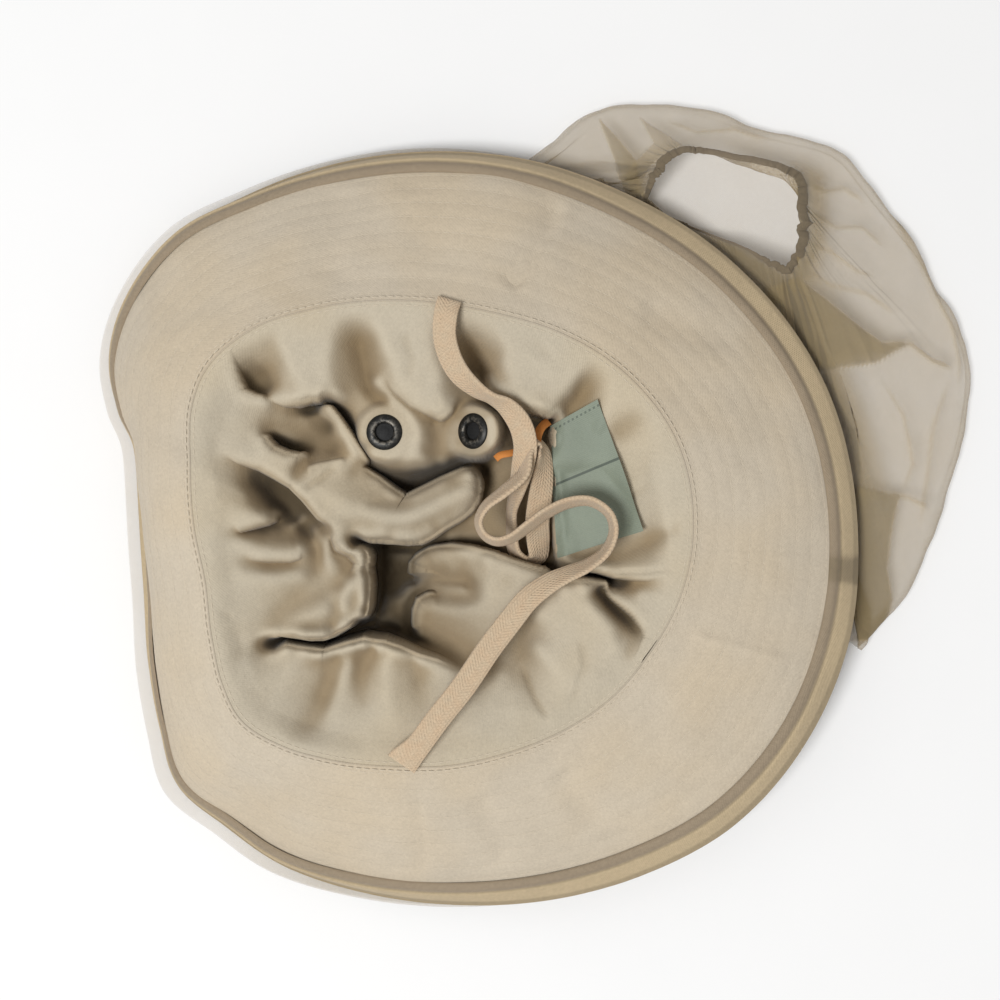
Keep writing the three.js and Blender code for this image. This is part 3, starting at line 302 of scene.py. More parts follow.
# Thin creases on top of all that: depth, half widths left and right of the path, path; a ridge has
# a depth below 0.
FOLDS = [
    (1.6, 1.2, 1.6, [(-53, 17), (-46, 20), (-39, 26)]),
    (1.2, 1.5, 2, [(6, 55), (4, 49), (-1, 44), (-5, 41)]),
    (1.5, 0.9, 1.4, [(31, -50), (37, -65), (43, -74)]),
    (-1, 0.8, 1.2, [(62, -16.4), (78, -17), (96, -16.8)]),
    (1.3, 0.7, 0.6, [(60, -14.6), (78, -15.4), (96, -15.2)]),
    (0.8, 1, 2, [(60, 8), (72, 12), (84, 20)]),
    (0.7, 1.5, 2, [(-94, -3), (-87, -14)]),
    (0.8, 1.2, 2.5, [(-92, -20), (-84, -30), (-78, -34)]),
    (0.9, 1.5, 3, [(-14, 78), (-10, 66), (-12, 58)]),
    (0.8, 2, 3, [(34, 76), (44, 66)]),
    (0.9, 1.2, 2.5, [(50, -70), (56, -52), (54, -40)]),
    (0.7, 1.2, 2.5, [(86, 36), (80, 28), (82, 14)]),
    (0.8, 1.5, 2, [(-30, 10), (-22, 12), (-12, 9)]),
    (0.8, 1.5, 2, [(-40, 6), (-30, 1), (-20, 0)]),
]

# Soft dents across the brim, and ridges where the depth is below 0: depth, half widths left and
# right of the path, path.
BRIM_DENTS = [
    (2.2, 2.5, 7, [(48, 132), (42, 116), (33, 102), (27, 92)]),
    (1.3, 6, 8, [(-37, 138), (-40, 115), (-43, 94)]),
    (-0.8, 9, 9, [(-16, 138), (-15, 95)]),
    (1.7, 7, 8, [(76, 88), (96, 80), (120, 72)]),
    (-0.6, 1.4, 1.8, [(95, -39), (115, -45), (138, -51)]),
    (-0.3, 0.6, 0.8, [(98, -8.5), (125, -9.5), (152, -11)]),
    (0.9, 1.5, 5, [(-8.5, -100), (-7, -118), (-4.5, -137)]),
    (1.4, 6, 6, [(14, -101), (20, -117), (27, -134)]),
    (1.4, 6, 6, [(45, -92), (54, -104), (64, -118)]),
    (1.1, 5, 6, [(-80, -90), (-74, -108), (-70, -125)]),
    (1, 8, 8, [(-95, 78), (-108, 92), (-120, 104)]),
    (0.8, 8, 10, [(118, 20), (128, 40), (128, 58)]),
]

# The net where it hangs from the brim: share of the skirt, share of the edge's height, low, high.
NET_HANG = [(0, 1, 0.5, 13), (1.1, 0.4, 0.5, 12.5), (0.8, 0.1, 0.5, 12)]
# The net's loops past that: x, y, heading, half width, near and far reach, low and high side.
NET_LOOPS = [
    (14, 6, 35, 135, 121, -98, 0.5, 11.2),
    (34, 17, 35, 129, 96, -60, 0.5, 8.8),
    (58, 29, 35, 123, 68, -18, 0.5, 7.8),
    (84, 41, 35, 119, 39, 44, 0.5, 7),
    (99, 46, 35, 117, 24, 104, 0.5, 6.2),
    (102, 47, 35, 121, 23.5, 112, 3, 5.6),
    (102, 48, 35, 121, 26, 111, 8, 5),
    (103, 56, 37, 108, 24, 96, 13, 5.2),
    (105, 74, 40, 86, 17, 76, 18, 5.6),
    (108, 102, 47, 56, 2, 44, 22, 7),
    (112, 124, 54, 38, -8, 20, 25, 15),
]
NET_HEADING = 35
# How far apart the net's yarns show, in millimetres.
NET_MESH = 0.9
# The row of the net's sections past which it has turned over and lies as its upper layer.
NET_OVER = 8
# The neck's opening in the order of the brim's stations: degrees, x, y, width of the casing round the
# elastic, and how dark its gathers are.
NECK = [
    (35, 106, 121.5, 0.9, 0.1), (75, 91.2, 127.1, 1, 0.2), (100, 82.8, 133.5, 1.5, 0.8),
    (118, 86, 141, 3.6, 1.2), (135, 90.2, 146.6, 4, 1.1), (150, 96, 150, 3, 0.6),
    (175, 108, 149.6, 2.6, 0.15), (200, 123.1, 146.3, 3, 0.15), (220, 133.1, 143.9, 3, 0.3),
    (235, 140.6, 139.9, 4, 1), (252, 142.8, 129.9, 4.5, 1.25), (272, 141.6, 117.1, 4.5, 1.25),
    (297, 138.2, 104.4, 3.5, 1.2), (332, 123.1, 113.1, 1, 0.2),
]
# Where the net's edge stands out in a corner or is drawn in: direction from the middle of the fold and
# half width in degrees, how far out.
NET_EDGE = {
    "right corner": (-2, 12, 5), "upper right corner": (54, 8, 3), "top left corner": (113, 11, 6),
    "top, drawn in": (76, 13, -5), "lower right, drawn in": (-35, 14, -7), "low, drawn in": (-52, 9, -3),
}
# Where folded net lies on itself: extra layers, how soft its edge is, then the patch's corners. Beside and
# along the brim the extra layers also paint the brim's shade on the net.
NET_PLEATS = {
    "under the neck": (1.2, 1.8, [
        (78, 134), (84, 130), (104, 121), (118, 114), (138, 102), (139, 92), (128, 93), (100, 115),
        (72, 132)]),
    "triangle": (1.9, 2, [
        (131, 97), (134.8, 98.5), (141.1, 101), (152.4, 93.1), (165.1, 83.3), (176.8, 75), (186, 74.3),
        (174.8, 67.7), (166.9, 66.3), (152.4, 65.3), (140, 72)]),
    "left of the neck": (1.4, 1.5, [
        (63.5, 166.5), (70, 159), (78, 148), (82, 134), (76, 134), (70, 148)]),
    "left of the neck, second": (0.8, 1.5, [
        (80, 167), (96, 154), (83, 146), (78, 133), (74, 144), (85, 155)]),
    "right of the neck": (1.1, 9, [
        (142, 146), (152, 142), (153, 122), (148, 100), (140, 98), (141, 118)]),
    # Partly folded net, partly the brim's shadow on the net painted as extra layers.
    "beside the brim, layers and painted shade": (1.4, 2, [
        (163, 20), (170.9, 16.3), (184.3, 13.6), (181.7, 1.9), (179.8, -16), (182.6, -28.6),
        (180.8, -37.6), (173.6, -44.9), (165, -45), (166, -20)]),
    # Partly more layers of net, partly the brim's shadow on the net painted as extra layers.
    "along the brim, layers and painted shade": (0.9, 12, [
        (148, 66), (158, 66), (167, 50), (174, 30), (178, 14), (165, 14), (156, 40)]),
}
# Creases in the net: height, half width, extra layers, path.
NET_CREASES = [
    (1.6, 1.6, 1.1, [(178, 75.1), (188.9, 74.7), (197.6, 68.3), (207.9, 65)]),
    (1.2, 2, 0.8, [(180, 14.5), (188, 13), (197, 9)]),
    (1.2, 2, 0.7, [(146, 139), (154, 136), (162, 138), (172, 132)]),
    (1, 2, 0.7, [(147, 128), (158, 121), (169, 122), (180, 113)]),
    (1, 1.8, 0.6, [(146, 115), (156, 111), (166, 104), (176, 101)]),
    (1, 2, 0.6, [(145, 105), (155, 98), (170, 95), (184, 86)]),
    (0.9, 2, 0.6, [(90, 166), (102, 160), (118, 162), (134, 157)]),
    (1.2, 1.6, 0.6, [
        (169, 149.7), (185.8, 125.2), (195.7, 107.6), (200.6, 94.7), (207, 80.9), (209.9, 68.1),
        (209.4, 54.4)]),
    (0.8, 2, 0.5, [(176, 62), (186, 46), (190, 26), (186, 15)]),
    (0.8, 2, 0.5, [(206, 62), (198, 41), (196, 20), (193, 0)]),
]
NET_LID = {"up": 6.5, "rise": 1.8, "clear": 1}

# The chin tape's middle line: x, y, height, degrees it is turned about its run.
TAPE_ROUTE = [
    (4, 89, 54.2, 0), (2.5, 83, 56.5, 12), (2, 75, 56, 20), (4, 67, 55.5, 25), (8, 60, 55, 35),
    (14, 54.5, 54, 55), (20, 51, 53.5, 70), (26, 47.5, 53, 45), (31, 41, 52, 20), (33, 33, 50, 15),
    (32, 25, 46, 25), (30, 17, 41, 50), (28, 9, 33, 70), (28, 1, 26, 70), (29, -8, 21, 65),
    (33.5, -12.5, 18.5, 65), (38.5, -10.5, 20, 45), (38.5, -4, 26, 12), (38, 4, 34, 0),
    (39, 13, 37.5, 10), (40, 22, 40, 35), (40, 30, 43, 60), (37, 34, 45.5, 75), (34, 30, 47.5, 72),
    (32, 22, 51, 66), (25, 15.5, 53, 68), (18, 10, 51, 74), (15, 4, 49, 78), (17, -1.5, 48.5, 78),
    (22, -4, 49, 75), (28, -2.5, 49.5, 72), (35, 2.5, 50, 68), (42, 7.5, 50, 68), (50, 11, 49.5, 70),
    (58, 11.5, 49.5, 74), (65, 7, 49.5, 78), (67, 0, 50, 78), (64, -7.5, 50.5, 74), (57, -13, 51, 66),
    (49, -16.5, 51.5, 55), (42, -20, 52, 40), (34, -26, 53, 22), (27, -34.5, 54, 8), (19, -45, 55, 0),
    (9.5, -59, 56, 0), (0, -71, 56.5, 0), (-8, -82, 55.5, 0), (-13.5, -90, 54, 0),
]
# The tape widens towards its lower end, on one side: over how far, and by what share of its width.
TAPE_FLARE = (12, 0.3)
# How far the tape stays above the cloth at least.
TAPE_CLEAR = 1

# The eyelets: name, x, y, height, degrees that they face towards -X.
EYELETS = [("left", -21.7, 38.4, 43, 0), ("right", 12.8, 38.8, 43.5, 35)]
# Round an eyelet the cloth is held flat out to the first distance and is free past the second.
EYELET_FLAT = (9, 13)
# Profiles of an eyelet's ring and of its screen: reach, height.
RING_PROFILE = [
    (3.4, -1.6), (3.45, -0.4), (3.6, 0.7), (4.1, 1.25), (4.9, 1.35), (5.8, 1.15), (6.6, 0.75), (6.95, 0.35),
    (7.0, -0.2),
]
VENT_PROFILE = [(0.02, -0.65), (1.2, -0.7), (2.4, -0.85), (3.5, -0.9)]

# The orange tab in the label's seam and its loose end: name, width, then x, y, height.
TABS = [
    ("seam_tab", 3.4, [(42.5, 43, 36), (40, 41, 40), (38.4, 38.5, 42), (37.6, 35, 42), (38.5, 31.5, 39)]),
    ("seam_tab_end", 2.8, [(31, 31, 40), (27, 30.2, 42), (23.5, 29.5, 42), (21.5, 28, 40.5)]),
]


class SunHatCloth(bpy.types.PropertyGroup):
    """Colours and stitching of the crown and brim."""

    crown_colour: FloatVectorProperty(
        name="Crown colour", description="Colour of the crown's cloth", subtype="COLOR", size=3,
        default=(0.53, 0.46, 0.345), min=0, max=1)
    brim_colour: FloatVectorProperty(
        name="Brim colour", description="Colour of the brim's cloth", subtype="COLOR", size=3,
        default=(0.58, 0.495, 0.375), min=0, max=1)
    thread_colour: FloatVectorProperty(
        name="Thread colour", description="Colour of the stitches", subtype="COLOR", size=3,
        default=(0.6, 0.52, 0.4), min=0, max=1)
    puff: FloatProperty(
        name="Channel puff", description="How far the brim swells between its rows of stitches",
        default=0.00018, min=0, max=0.002, unit="LENGTH")
    rows: IntProperty(
        name="Stitch rows", description="Rows of stitches round the brim", default=9, min=1, max=14)
    stitch: FloatProperty(
        name="Stitch length", description="Length of one stitch on the brim", default=0.0026,
        min=0.001, max=0.006, unit="LENGTH")


class SunHatNet(bpy.types.PropertyGroup):
    """Look of the net, its hem band and its neck."""

    colour: FloatVectorProperty(
        name="Net colour", description="Colour of the net's yarn", subtype="COLOR", size=3,
        default=(0.465, 0.355, 0.2), min=0, max=1)
    cover: FloatProperty(
        name="Cover", description="Share of the light that one layer of the net stops",
        default=0.24, min=0.05, max=1, subtype="FACTOR")
    ruffle: FloatProperty(
        name="Ruffle", description="Height of the ruffles at the net's elastic neck", default=0.0012,
        min=0, max=0.005, unit="LENGTH")
    hem_colour: FloatVectorProperty(
        name="Hem colour", description="Colour of the hem band's outer half", subtype="COLOR", size=3,
        default=(0.5, 0.395, 0.25), min=0, max=1)


class SunHatTrim(bpy.types.PropertyGroup):
    """The chin tape, the label and the eyelets."""

    tape_width: FloatProperty(
        name="Tape width", description="Width of the chin tape", default=0.0095, min=0.003,
        max=0.03, unit="LENGTH")
    tape_thickness: FloatProperty(
        name="Tape thickness", description="Thickness of the chin tape", default=0.0018, min=0.0005,
        max=0.004, unit="LENGTH")
    tape_colour: FloatVectorProperty(
        name="Tape colour", description="Colour of the chin tape", subtype="COLOR", size=3,
        default=(0.58, 0.475, 0.335), min=0, max=1)
    label_colour: FloatVectorProperty(
        name="Label colour", description="Colour of the bare label", subtype="COLOR", size=3,
        default=(0.235, 0.27, 0.21), min=0, max=1)
    tab_colour: FloatVectorProperty(
        name="Tab colour", description="Colour of the little tab beside the label", subtype="COLOR", size=3,
        default=(0.62, 0.23, 0.05), min=0, max=1)
    metal_colour: FloatVectorProperty(
        name="Eyelet colour", description="Colour of the blackened eyelets", subtype="COLOR", size=3,
        default=(0.018, 0.018, 0.017), min=0, max=1)


class SunHatStage(bpy.types.PropertyGroup):
    """Floor and light."""

    floor_colour: FloatVectorProperty(
        name="Floor colour", description="Colour of the floor", subtype="COLOR", size=3,
        default=(0.9, 0.9, 0.9), min=0, max=1)
    key_power: FloatProperty(
        name="Key light", description="Power of the large light on the left", default=41, min=0,
        max=500, unit="POWER")
    fill: FloatProperty(
        name="Fill", description="Strength of the even light from all round", default=0.43, min=0, max=5)


class SunHatSettings(bpy.types.PropertyGroup):
    """Everything that a user may change."""

    cloth: PointerProperty(type=SunHatCloth)
    net: PointerProperty(type=SunHatNet)
    trim: PointerProperty(type=SunHatTrim)
    stage: PointerProperty(type=SunHatStage)


def smooth(x):
    k = np.clip(x, 0, 1)
    return k * k * (3 - 2 * k)


def mix(a, b, k):
    return a + (b - a) * k


def along_rows(rows, at, closed=False, lap=0):
    """Catmull-Rom values of a table at fractional rows; a closed table adds lap each time round."""
    rows = np.asarray(rows, float)
    at = np.asarray(at, float)
    count = len(rows)
    row = np.floor(at).astype(int)
    k = (at - row).reshape(at.shape + (1,) * (rows.ndim - 1))

    def pick(step):
        i = row + step
        if closed:
            return rows[i % count] + (i // count)[..., None] * lap
        return rows[np.clip(i, 0, count - 1)]

    a, b, c, d = (pick(step) for step in (-1, 0, 1, 2))
    return b + 0.5 * k * (c - a + k * (2 * a - 5 * b + 4 * c - d + k * (3 * (b - c) + d - a)))


def waves(x, y, size, seed):
    """Smooth noise from -1 to 1, with hills about size apart."""
    lattice = np.random.default_rng(seed).uniform(-1, 1, (64, 64))
    u, v = x / size + 640.5, y / size + 640.5
    i, j = np.floor(u).astype(int), np.floor(v).astype(int)
    du, dv = smooth(u - i), smooth(v - j)
    pick = lambda a, b: lattice[(i + a) % 64, (j + b) % 64]
    return mix(mix(pick(0, 0), pick(1, 0), du), mix(pick(0, 1), pick(1, 1), du), dv)


def rim_at(share):
    lap = np.zeros(len(RIM_COLUMNS))
    lap[0] = 360
    rows = along_rows(RIM, np.asarray(share) * len(RIM), closed=True, lap=lap)
    rim = {name: rows[..., i] for i, name in enumerate(RIM_COLUMNS)}
    rim["turn"] = np.radians(rim["turn"])
    return rim


def rim_round(count):
    return rim_at(np.arange(count) / count)


def polar(rim, reach, up):
    return np.stack(
        np.broadcast_arrays(reach * np.cos(rim["turn"]), reach * np.sin(rim["turn"]), up), -1)


def brim_at(rim, k):
    """Reach and height of the brim's middle surface a share k of the way out, and its run."""
    reach = rim["edge"] - rim["seam"]
    fall = rim["edge_up"] - rim["seam_up"]
    chord = np.hypot(reach, fall)
    ax, ay = reach / chord, fall / chord
    bulge = rim["bow"] * np.sin(np.pi * k)
    slope = rim["bow"] * np.pi * np.cos(np.pi * k) / chord
    at = np.stack(np.broadcast_arrays(
        rim["seam"] + ax * chord * k - ay * bulge, rim["seam_up"] + ay * chord * k + ax * bulge), -1)
    run = np.stack(np.broadcast_arrays(ax - ay * slope, ay + ax * slope), -1)
    return at, run / np.linalg.norm(run, axis=-1, keepdims=True)


def brim_face(rim, k, side, puff=0):
    """Places on the brim's upper (side 1) or under face (side -1)."""
    at, run = brim_at(rim, k)
    normal = np.stack([-run[..., 1], run[..., 0]], -1)
    blend = smooth(4 * k)[..., None] * np.ones_like(normal)
    upright = mix(np.array([0, 1.0]), normal, blend)
    upright /= np.linalg.norm(upright, axis=-1, keepdims=True)
    at = at + upright * (side * BRIM_CLOTH / 2 + puff)[..., None]
    return polar(rim, at[..., 0], at[..., 1] - BRIM_CLOTH / 2)


def hem_tip(rim):
    fall = np.sqrt(np.maximum(0, HEM["wide"] ** 2 - rim["hem"] ** 2))
    up = np.maximum(HEM["lowest"] + BRIM_CLOTH / 2, rim["edge_up"] - fall)
    return rim["edge"] + rim["hem"], up


def along_path(path, x, y):
    """Distance to a path, positive on its left, the share of the path, and the way to its left."""
    path = np.asarray(path, float)
    spans = len(path) - 1
    far = np.full(np.shape(x), np.inf)
    side, share, left_x, left_y = (np.zeros(np.shape(x)) for _ in range(4))
    for i in range(spans):
        (ax, ay), (dx, dy) = path[i], path[i + 1] - path[i]
        k = np.clip(((x - ax) * dx + (y - ay) * dy) / (dx * dx + dy * dy), 0, 1)
        d = np.hypot(x - ax - k * dx, y - ay - k * dy)
        near = d < far
        far = np.where(near, d, far)
        side = np.where(near, np.where(dx * (y - ay) - dy * (x - ax) >= 0, d, -d), side)
        share = np.where(near, (i + k) / spans, share)
        length = math.hypot(dx, dy)
        left_x = np.where(near, -dy / length, left_x)
        left_y = np.where(near, dx / length, left_y)
    return side, share, left_x, left_y


def crease_at(path, x, y, left, right, fade):
    """How deep places lie in a crease, from 0 to 1; it fades out towards both ends of its path."""
    side, share, _, _ = along_path(path, x, y)
    ends = smooth(share * fade) * smooth((1 - share) * fade)
    return ends * np.exp(-((side / np.where(side > 0, left, right)) ** 2))


def eyelet_seats(x, y):
    """For each eyelet: how far off places are, how flat it holds them, and its height there."""
    for _, eyelet_x, eyelet_y, eyelet_up, lean in EYELETS:
        far = np.hypot(x - eyelet_x, y - eyelet_y)
        flat = smooth((EYELET_FLAT[1] - far) / (EYELET_FLAT[1] - EYELET_FLAT[0]))
        yield far, flat, eyelet_up + math.tan(math.radians(lean)) * (x - eyelet_x)


def crown_up(x, y, s, seam_up):
    """Height of the crown's inner face, a share s of the way from the seam to the hollow."""
    total = np.full(np.shape(x), 1e-6)
    heights = total * 40
    for level_x, level_y, up, reach in LEVELS:
        far = np.hypot(x - level_x, y - level_y) / reach
        weight = np.exp(-0.5 * far**2) + 0.02 / (1 + far**4)
        total = total + weight
        heights = heights + weight * up
    up = mix(seam_up, heights / total, smooth(s / 0.24))
    for depth, left, right, path in CREASES:
        up = up - depth * smooth(s / 0.08) * crease_at(path, x, y, left, right, 5)
    for _, flat, seat in eyelet_seats(x, y):
        up = mix(up, seat, flat)
    return np.maximum(CROWN_LOWEST, up)


SEAM_LOOKUP = rim_round(720)


def crown_seat(x, y):
    """Height of the plain crown at any place inside the seam."""
    dx, dy = np.asarray(x) - HOLLOW[0], np.asarray(y) - HOLLOW[1]
    seam_x = SEAM_LOOKUP["seam"] * np.cos(SEAM_LOOKUP["turn"]) - HOLLOW[0]
    seam_y = SEAM_LOOKUP["seam"] * np.sin(SEAM_LOOKUP["turn"]) - HOLLOW[1]
    turn = np.arctan2(dy, dx)[..., None] - np.arctan2(seam_y, seam_x)
    best = np.argmin(np.abs((turn + np.pi) % (2 * np.pi) - np.pi), axis=-1)
    s = np.maximum(0, 1 - np.hypot(dx, dy) / np.hypot(seam_x, seam_y)[best])
    return crown_up(np.asarray(x, float), np.asarray(y, float), s, SEAM_LOOKUP["seam_up"][best])


def seam_at(x, y):
    """Distance and height of the crown's seam, in the direction of any place."""
    turn = np.arctan2(y, x)
    known = np.unwrap(SEAM_LOOKUP["turn"])
    turn = (turn - known[0]) % (2 * np.pi) + known[0]
    known = np.append(known, known[0] + 2 * np.pi)
    loops = (np.append(SEAM_LOOKUP[key], SEAM_LOOKUP[key][0]) for key in ("seam", "seam_up"))
    return [np.interp(turn, known, loop) for loop in loops]


def dotted(path, step=0.4):
    """Rows of a path's table at even steps along it, with the direction to the left of each."""
    path = np.asarray(path, float)
    gone = np.concatenate([[0], np.cumsum(np.hypot(*np.diff(path[:, :2], axis=0).T))])
    at = np.linspace(0, gone[-1], max(2, int(gone[-1] / step)))
    rows = np.stack([np.interp(at, gone, column) for column in path.T], 1)
    run = np.gradient(rows[:, :2], axis=0)
    run /= np.maximum(1e-9, np.linalg.norm(run, axis=1, keepdims=True))
    return rows, np.stack([-run[:, 1], run[:, 0]], 1)


MAP_LOW = (-116, -98)
MAP_CELLS = (224, 200)
# How often the heights are drawn level between what holds them, and then evened out in their bends.
LEVEL_ROUNDS = 160
BEND_ROUNDS = 90


def map_grid():
    return np.meshgrid(*(low + np.arange(count) for low, count in zip(MAP_LOW, MAP_CELLS)), indexing="ij")


def neighbours(values):
    """The sum of each cell's four neighbours."""
    return sum(np.roll(values, step, axis) for axis in (0, 1) for step in (1, -1))


@lru_cache
def stretched_map():
    """Heights of the crown a millimetre apart: cloth drawn between its lips, crests and valleys."""
    gx, gy = map_grid()
    seam, seam_up = seam_at(gx, gy)
    known = np.where(np.hypot(gx, gy) >= seam - 0.6, seam_up, np.nan)
    total, count = np.nan_to_num(known), (~np.isnan(known)).astype(float)

    def pin(x, y, up):
        i, j = np.rint(x - MAP_LOW[0]).astype(int), np.rint(y - MAP_LOW[1]).astype(int)
        free = np.hypot(x, y) < seam_at(x, y)[0] - 1.2
        np.add.at(total, (i[free], j[free]), up[free])
        np.add.at(count, (i[free], j[free]), 1)

    for path in LINES.values():
        rows, _ = dotted(path)
        pin(*rows.T)
    for _, path in LIPS.values():
        rows, left = dotted(path)
        pin(*(rows[:, :2] + 1.1 * left).T, rows[:, 2])
        pin(*(rows[:, :2] - 1.1 * left).T, rows[:, 3])
    up = np.full((MAP_CELLS[0] // 8, MAP_CELLS[1] // 8), 42.0)
    for block in (8, 4, 2, 1):
        shape = (MAP_CELLS[0] // block, block, MAP_CELLS[1] // block, block)
        pins = count.reshape(shape).sum((1, 3))
        held = pins > 0
        value = total.reshape(shape).sum((1, 3)) / np.maximum(1, pins)
        if block < 8:
            up = up.repeat(2, 0).repeat(2, 1)
        for _ in range(LEVEL_ROUNDS):
            up = np.where(held, value, up)
            up = neighbours(up) / 4
    for _ in range(BEND_ROUNDS):
        up = np.where(held, mix(up, value, 0.5), up)
        bend = neighbours(up) - 4 * up
        up = up - 0.028 * (neighbours(bend) - 4 * bend)
    for axis in (0, 1, 0, 1):
        up = (2 * up + np.roll(up, 1, axis) + np.roll(up, -1, axis)) / 4
    return up


def hidden_sky(heights, reach=26):
    """Share of the sky that higher cloth hides from each cell of the height map, from 0 to 1."""
    gx, gy = map_grid()
    heights = heights - 0.8 * np.maximum(0, np.hypot(gx, gy) - seam_at(gx, gy)[0] + 2)
    hidden = np.zeros_like(heights)
    turns = np.radians(np.arange(0, 360, 22.5))
    for turn in turns:
        slope = np.zeros_like(heights)
        for far in np.linspace(1.5, reach, 13):
            step = (-int(round(far * math.cos(turn))), -int(round(far * math.sin(turn))))
            slope = np.maximum(slope, (np.roll(heights, step, (0, 1)) - heights) / far)
        hidden += slope / np.sqrt(1 + slope**2)
    return hidden / len(turns)


def sampled(heights, x, y):
    """Smooth values of the height map at any places."""
    u, v = x - MAP_LOW[0], y - MAP_LOW[1]
    i, j = np.floor(u).astype(int), np.floor(v).astype(int)

    def weights(t):
        parts = (1 - t) ** 3, 3 * t**3 - 6 * t**2 + 4, -3 * t**3 + 3 * t**2 + 3 * t + 1, t**3
        return [part / 6 for part in parts]

    wide, deep = weights(u - i), weights(v - j)
    return sum(wide[a] * deep[b] * heights[i + a - 1, j + b - 1] for a in range(4) for b in range(4))


def crumpled(x, y, heights):
    """The visible crown: its places after the lips have rolled over, in millimetres."""
    up = sampled(heights, x, y)
    shift_x, shift_y = np.zeros_like(x), np.zeros_like(y)
    for over, path in LIPS.values():
        path = np.asarray(path, float)
        side, share, left_x, left_y = along_path(path[:, :2], x, y)
        ends = smooth(share * 8) * smooth((1 - share) * 8)
        at = share * (len(path) - 1)
        high, low = (np.interp(at, np.arange(len(path)), path[:, i]) for i in (2, 3))
        near = smooth((2.4 - np.abs(side)) / 1.4) * ends
        up = mix(up, mix(low, high, smooth((side + 0.8) / 1.7)), near)
        reach = np.where(side > 0, np.exp(-((side / 6) ** 2)), np.exp(-((side / 0.9) ** 2)))
        shift_x -= over * ends * reach * left_x
        shift_y -= over * ends * reach * left_y
    for depth, left, right, path in FOLDS:
        up = up - depth * crease_at(path, x, y, left, right, 4)
    for far, flat, seat in eyelet_seats(x, y):
        up = mix(up, seat, flat)
        up = up - 2.6 * smooth((4.6 - far) / 0.8)
        shift_x, shift_y = shift_x * (1 - flat), shift_y * (1 - flat)
    return x + shift_x, y + shift_y, np.maximum(CROWN_LOWEST, up)


def past_label(x, y):
    """How far places lie outside the label's outline; below 0 inside it."""
    past = np.full(np.shape(x), -np.inf)
    for (ax, ay), (bx, by) in zip(LABEL_CORNERS, LABEL_CORNERS[1:] + LABEL_CORNERS[:1]):
        past = np.maximum(past, ((bx - ax) * (y - ay) - (by - ay) * (x - ax)) / math.hypot(bx - ax, by - ay))
    return past


def grid_normals(places, closed):
    """Unit normals of a grid of places, upwards where rows run out and columns run anticlockwise."""
    down = np.gradient(places, axis=0)
    if closed:
        round_ = (np.roll(places, -1, axis=1) - np.roll(places, 1, axis=1)) / 2
    else:
        round_ = np.gradient(places, axis=1)
    normal = np.cross(down, round_)
    return normal / np.maximum(1e-9, np.linalg.norm(normal, axis=-1, keepdims=True))


def grid_faces(rows, cols, closed, start=0):
    spans = cols if closed else cols - 1
    i, j = (a.ravel() for a in np.meshgrid(np.arange(rows - 1), np.arange(spans), indexing="ij"))
    corner_i = np.stack([i, i + 1, i + 1, i], 1)
    corner_j = np.stack([j, j, j + 1, j + 1], 1)
    return start + corner_i * cols + corner_j % cols, corner_i, corner_j


def mesh_piece(name, places, faces, uvs=None, marks=None):
    """A smooth object from places in millimetres and faces of four corners."""
    mesh = bpy.data.meshes.new(name)
    mesh.vertices.add(len(places))
    mesh.vertices.foreach_set("co", (np.asarray(places) * MM).astype(np.float32).ravel())
    mesh.loops.add(faces.size)
    mesh.loops.foreach_set("vertex_index", faces.astype(np.int32).ravel())
    mesh.polygons.add(len(faces))
    mesh.polygons.foreach_set("loop_start", np.arange(0, faces.size, 4, dtype=np.int32))
    mesh.update(calc_edges=True)
    if uvs is not None:
        mesh.uv_layers.new(name="Cloth").data.foreach_set("uv", uvs.astype(np.float32).ravel())
    for mark, values in (marks or {}).items():
        data = mesh.attributes.new(mark, "FLOAT", "POINT").data
        data.foreach_set("value", np.asarray(values, np.float32).ravel())
    mesh.polygons.foreach_set("use_smooth", np.ones(len(faces), bool))
    mesh.validate()
    piece = bpy.data.objects.new(name, mesh)
    bpy.context.scene.collection.objects.link(piece)
    return piece


def grid_piece(name, places, closed=False, uv=None, marks=None):
    """A mesh object from a grid of places; a closed one joins its last column to its first."""
    rows, cols = places.shape[:2]
    faces, corner_i, corner_j = grid_faces(rows, cols, closed)
    uvs = None
    if uv is not None:
        u, v = np.broadcast_arrays(*uv)
        uvs = np.stack([u[corner_i, corner_j], v[corner_i, corner_j]], -1)
    return mesh_piece(name, places.reshape(-1, 3), faces, uvs, marks)


def shut_ends(count):
    """The share of its thickness that each ring of a strip has: none at both ends, where its faces meet."""
    thick = np.ones((count, 1))
    thick[[0, -1]] = 0
    return thick


def stitch_run(middles, runs, ups, length, width, height):
    """Places and faces of small rounded stitches, one at each middle."""
    rings = [(-0.5, 0.35), (-0.36, 0.9), (0.0, 1.0), (0.36, 0.9), (0.5, 0.35)]
    turns = np.radians([0, 60, 120, 180])
    sides = np.cross(ups, runs)
    places = []
    for on, swell in rings:
        lift = height * (1.2 * swell - 0.6)
        middle = middles + runs * (on * length) + ups * lift
        for turn in turns:
            places.append(middle + sides * (math.cos(turn) * width / 2 * swell)
                          + ups * (math.sin(turn) * height * swell))
    places = np.stack(places, 1)
    count = len(middles)
    faces, _, _ = grid_faces(len(rings), len(turns), False)
    first = (np.arange(count) * places.shape[1])[:, None, None]
    return places.reshape(-1, 3), (faces[None] + first).reshape(-1, 4)


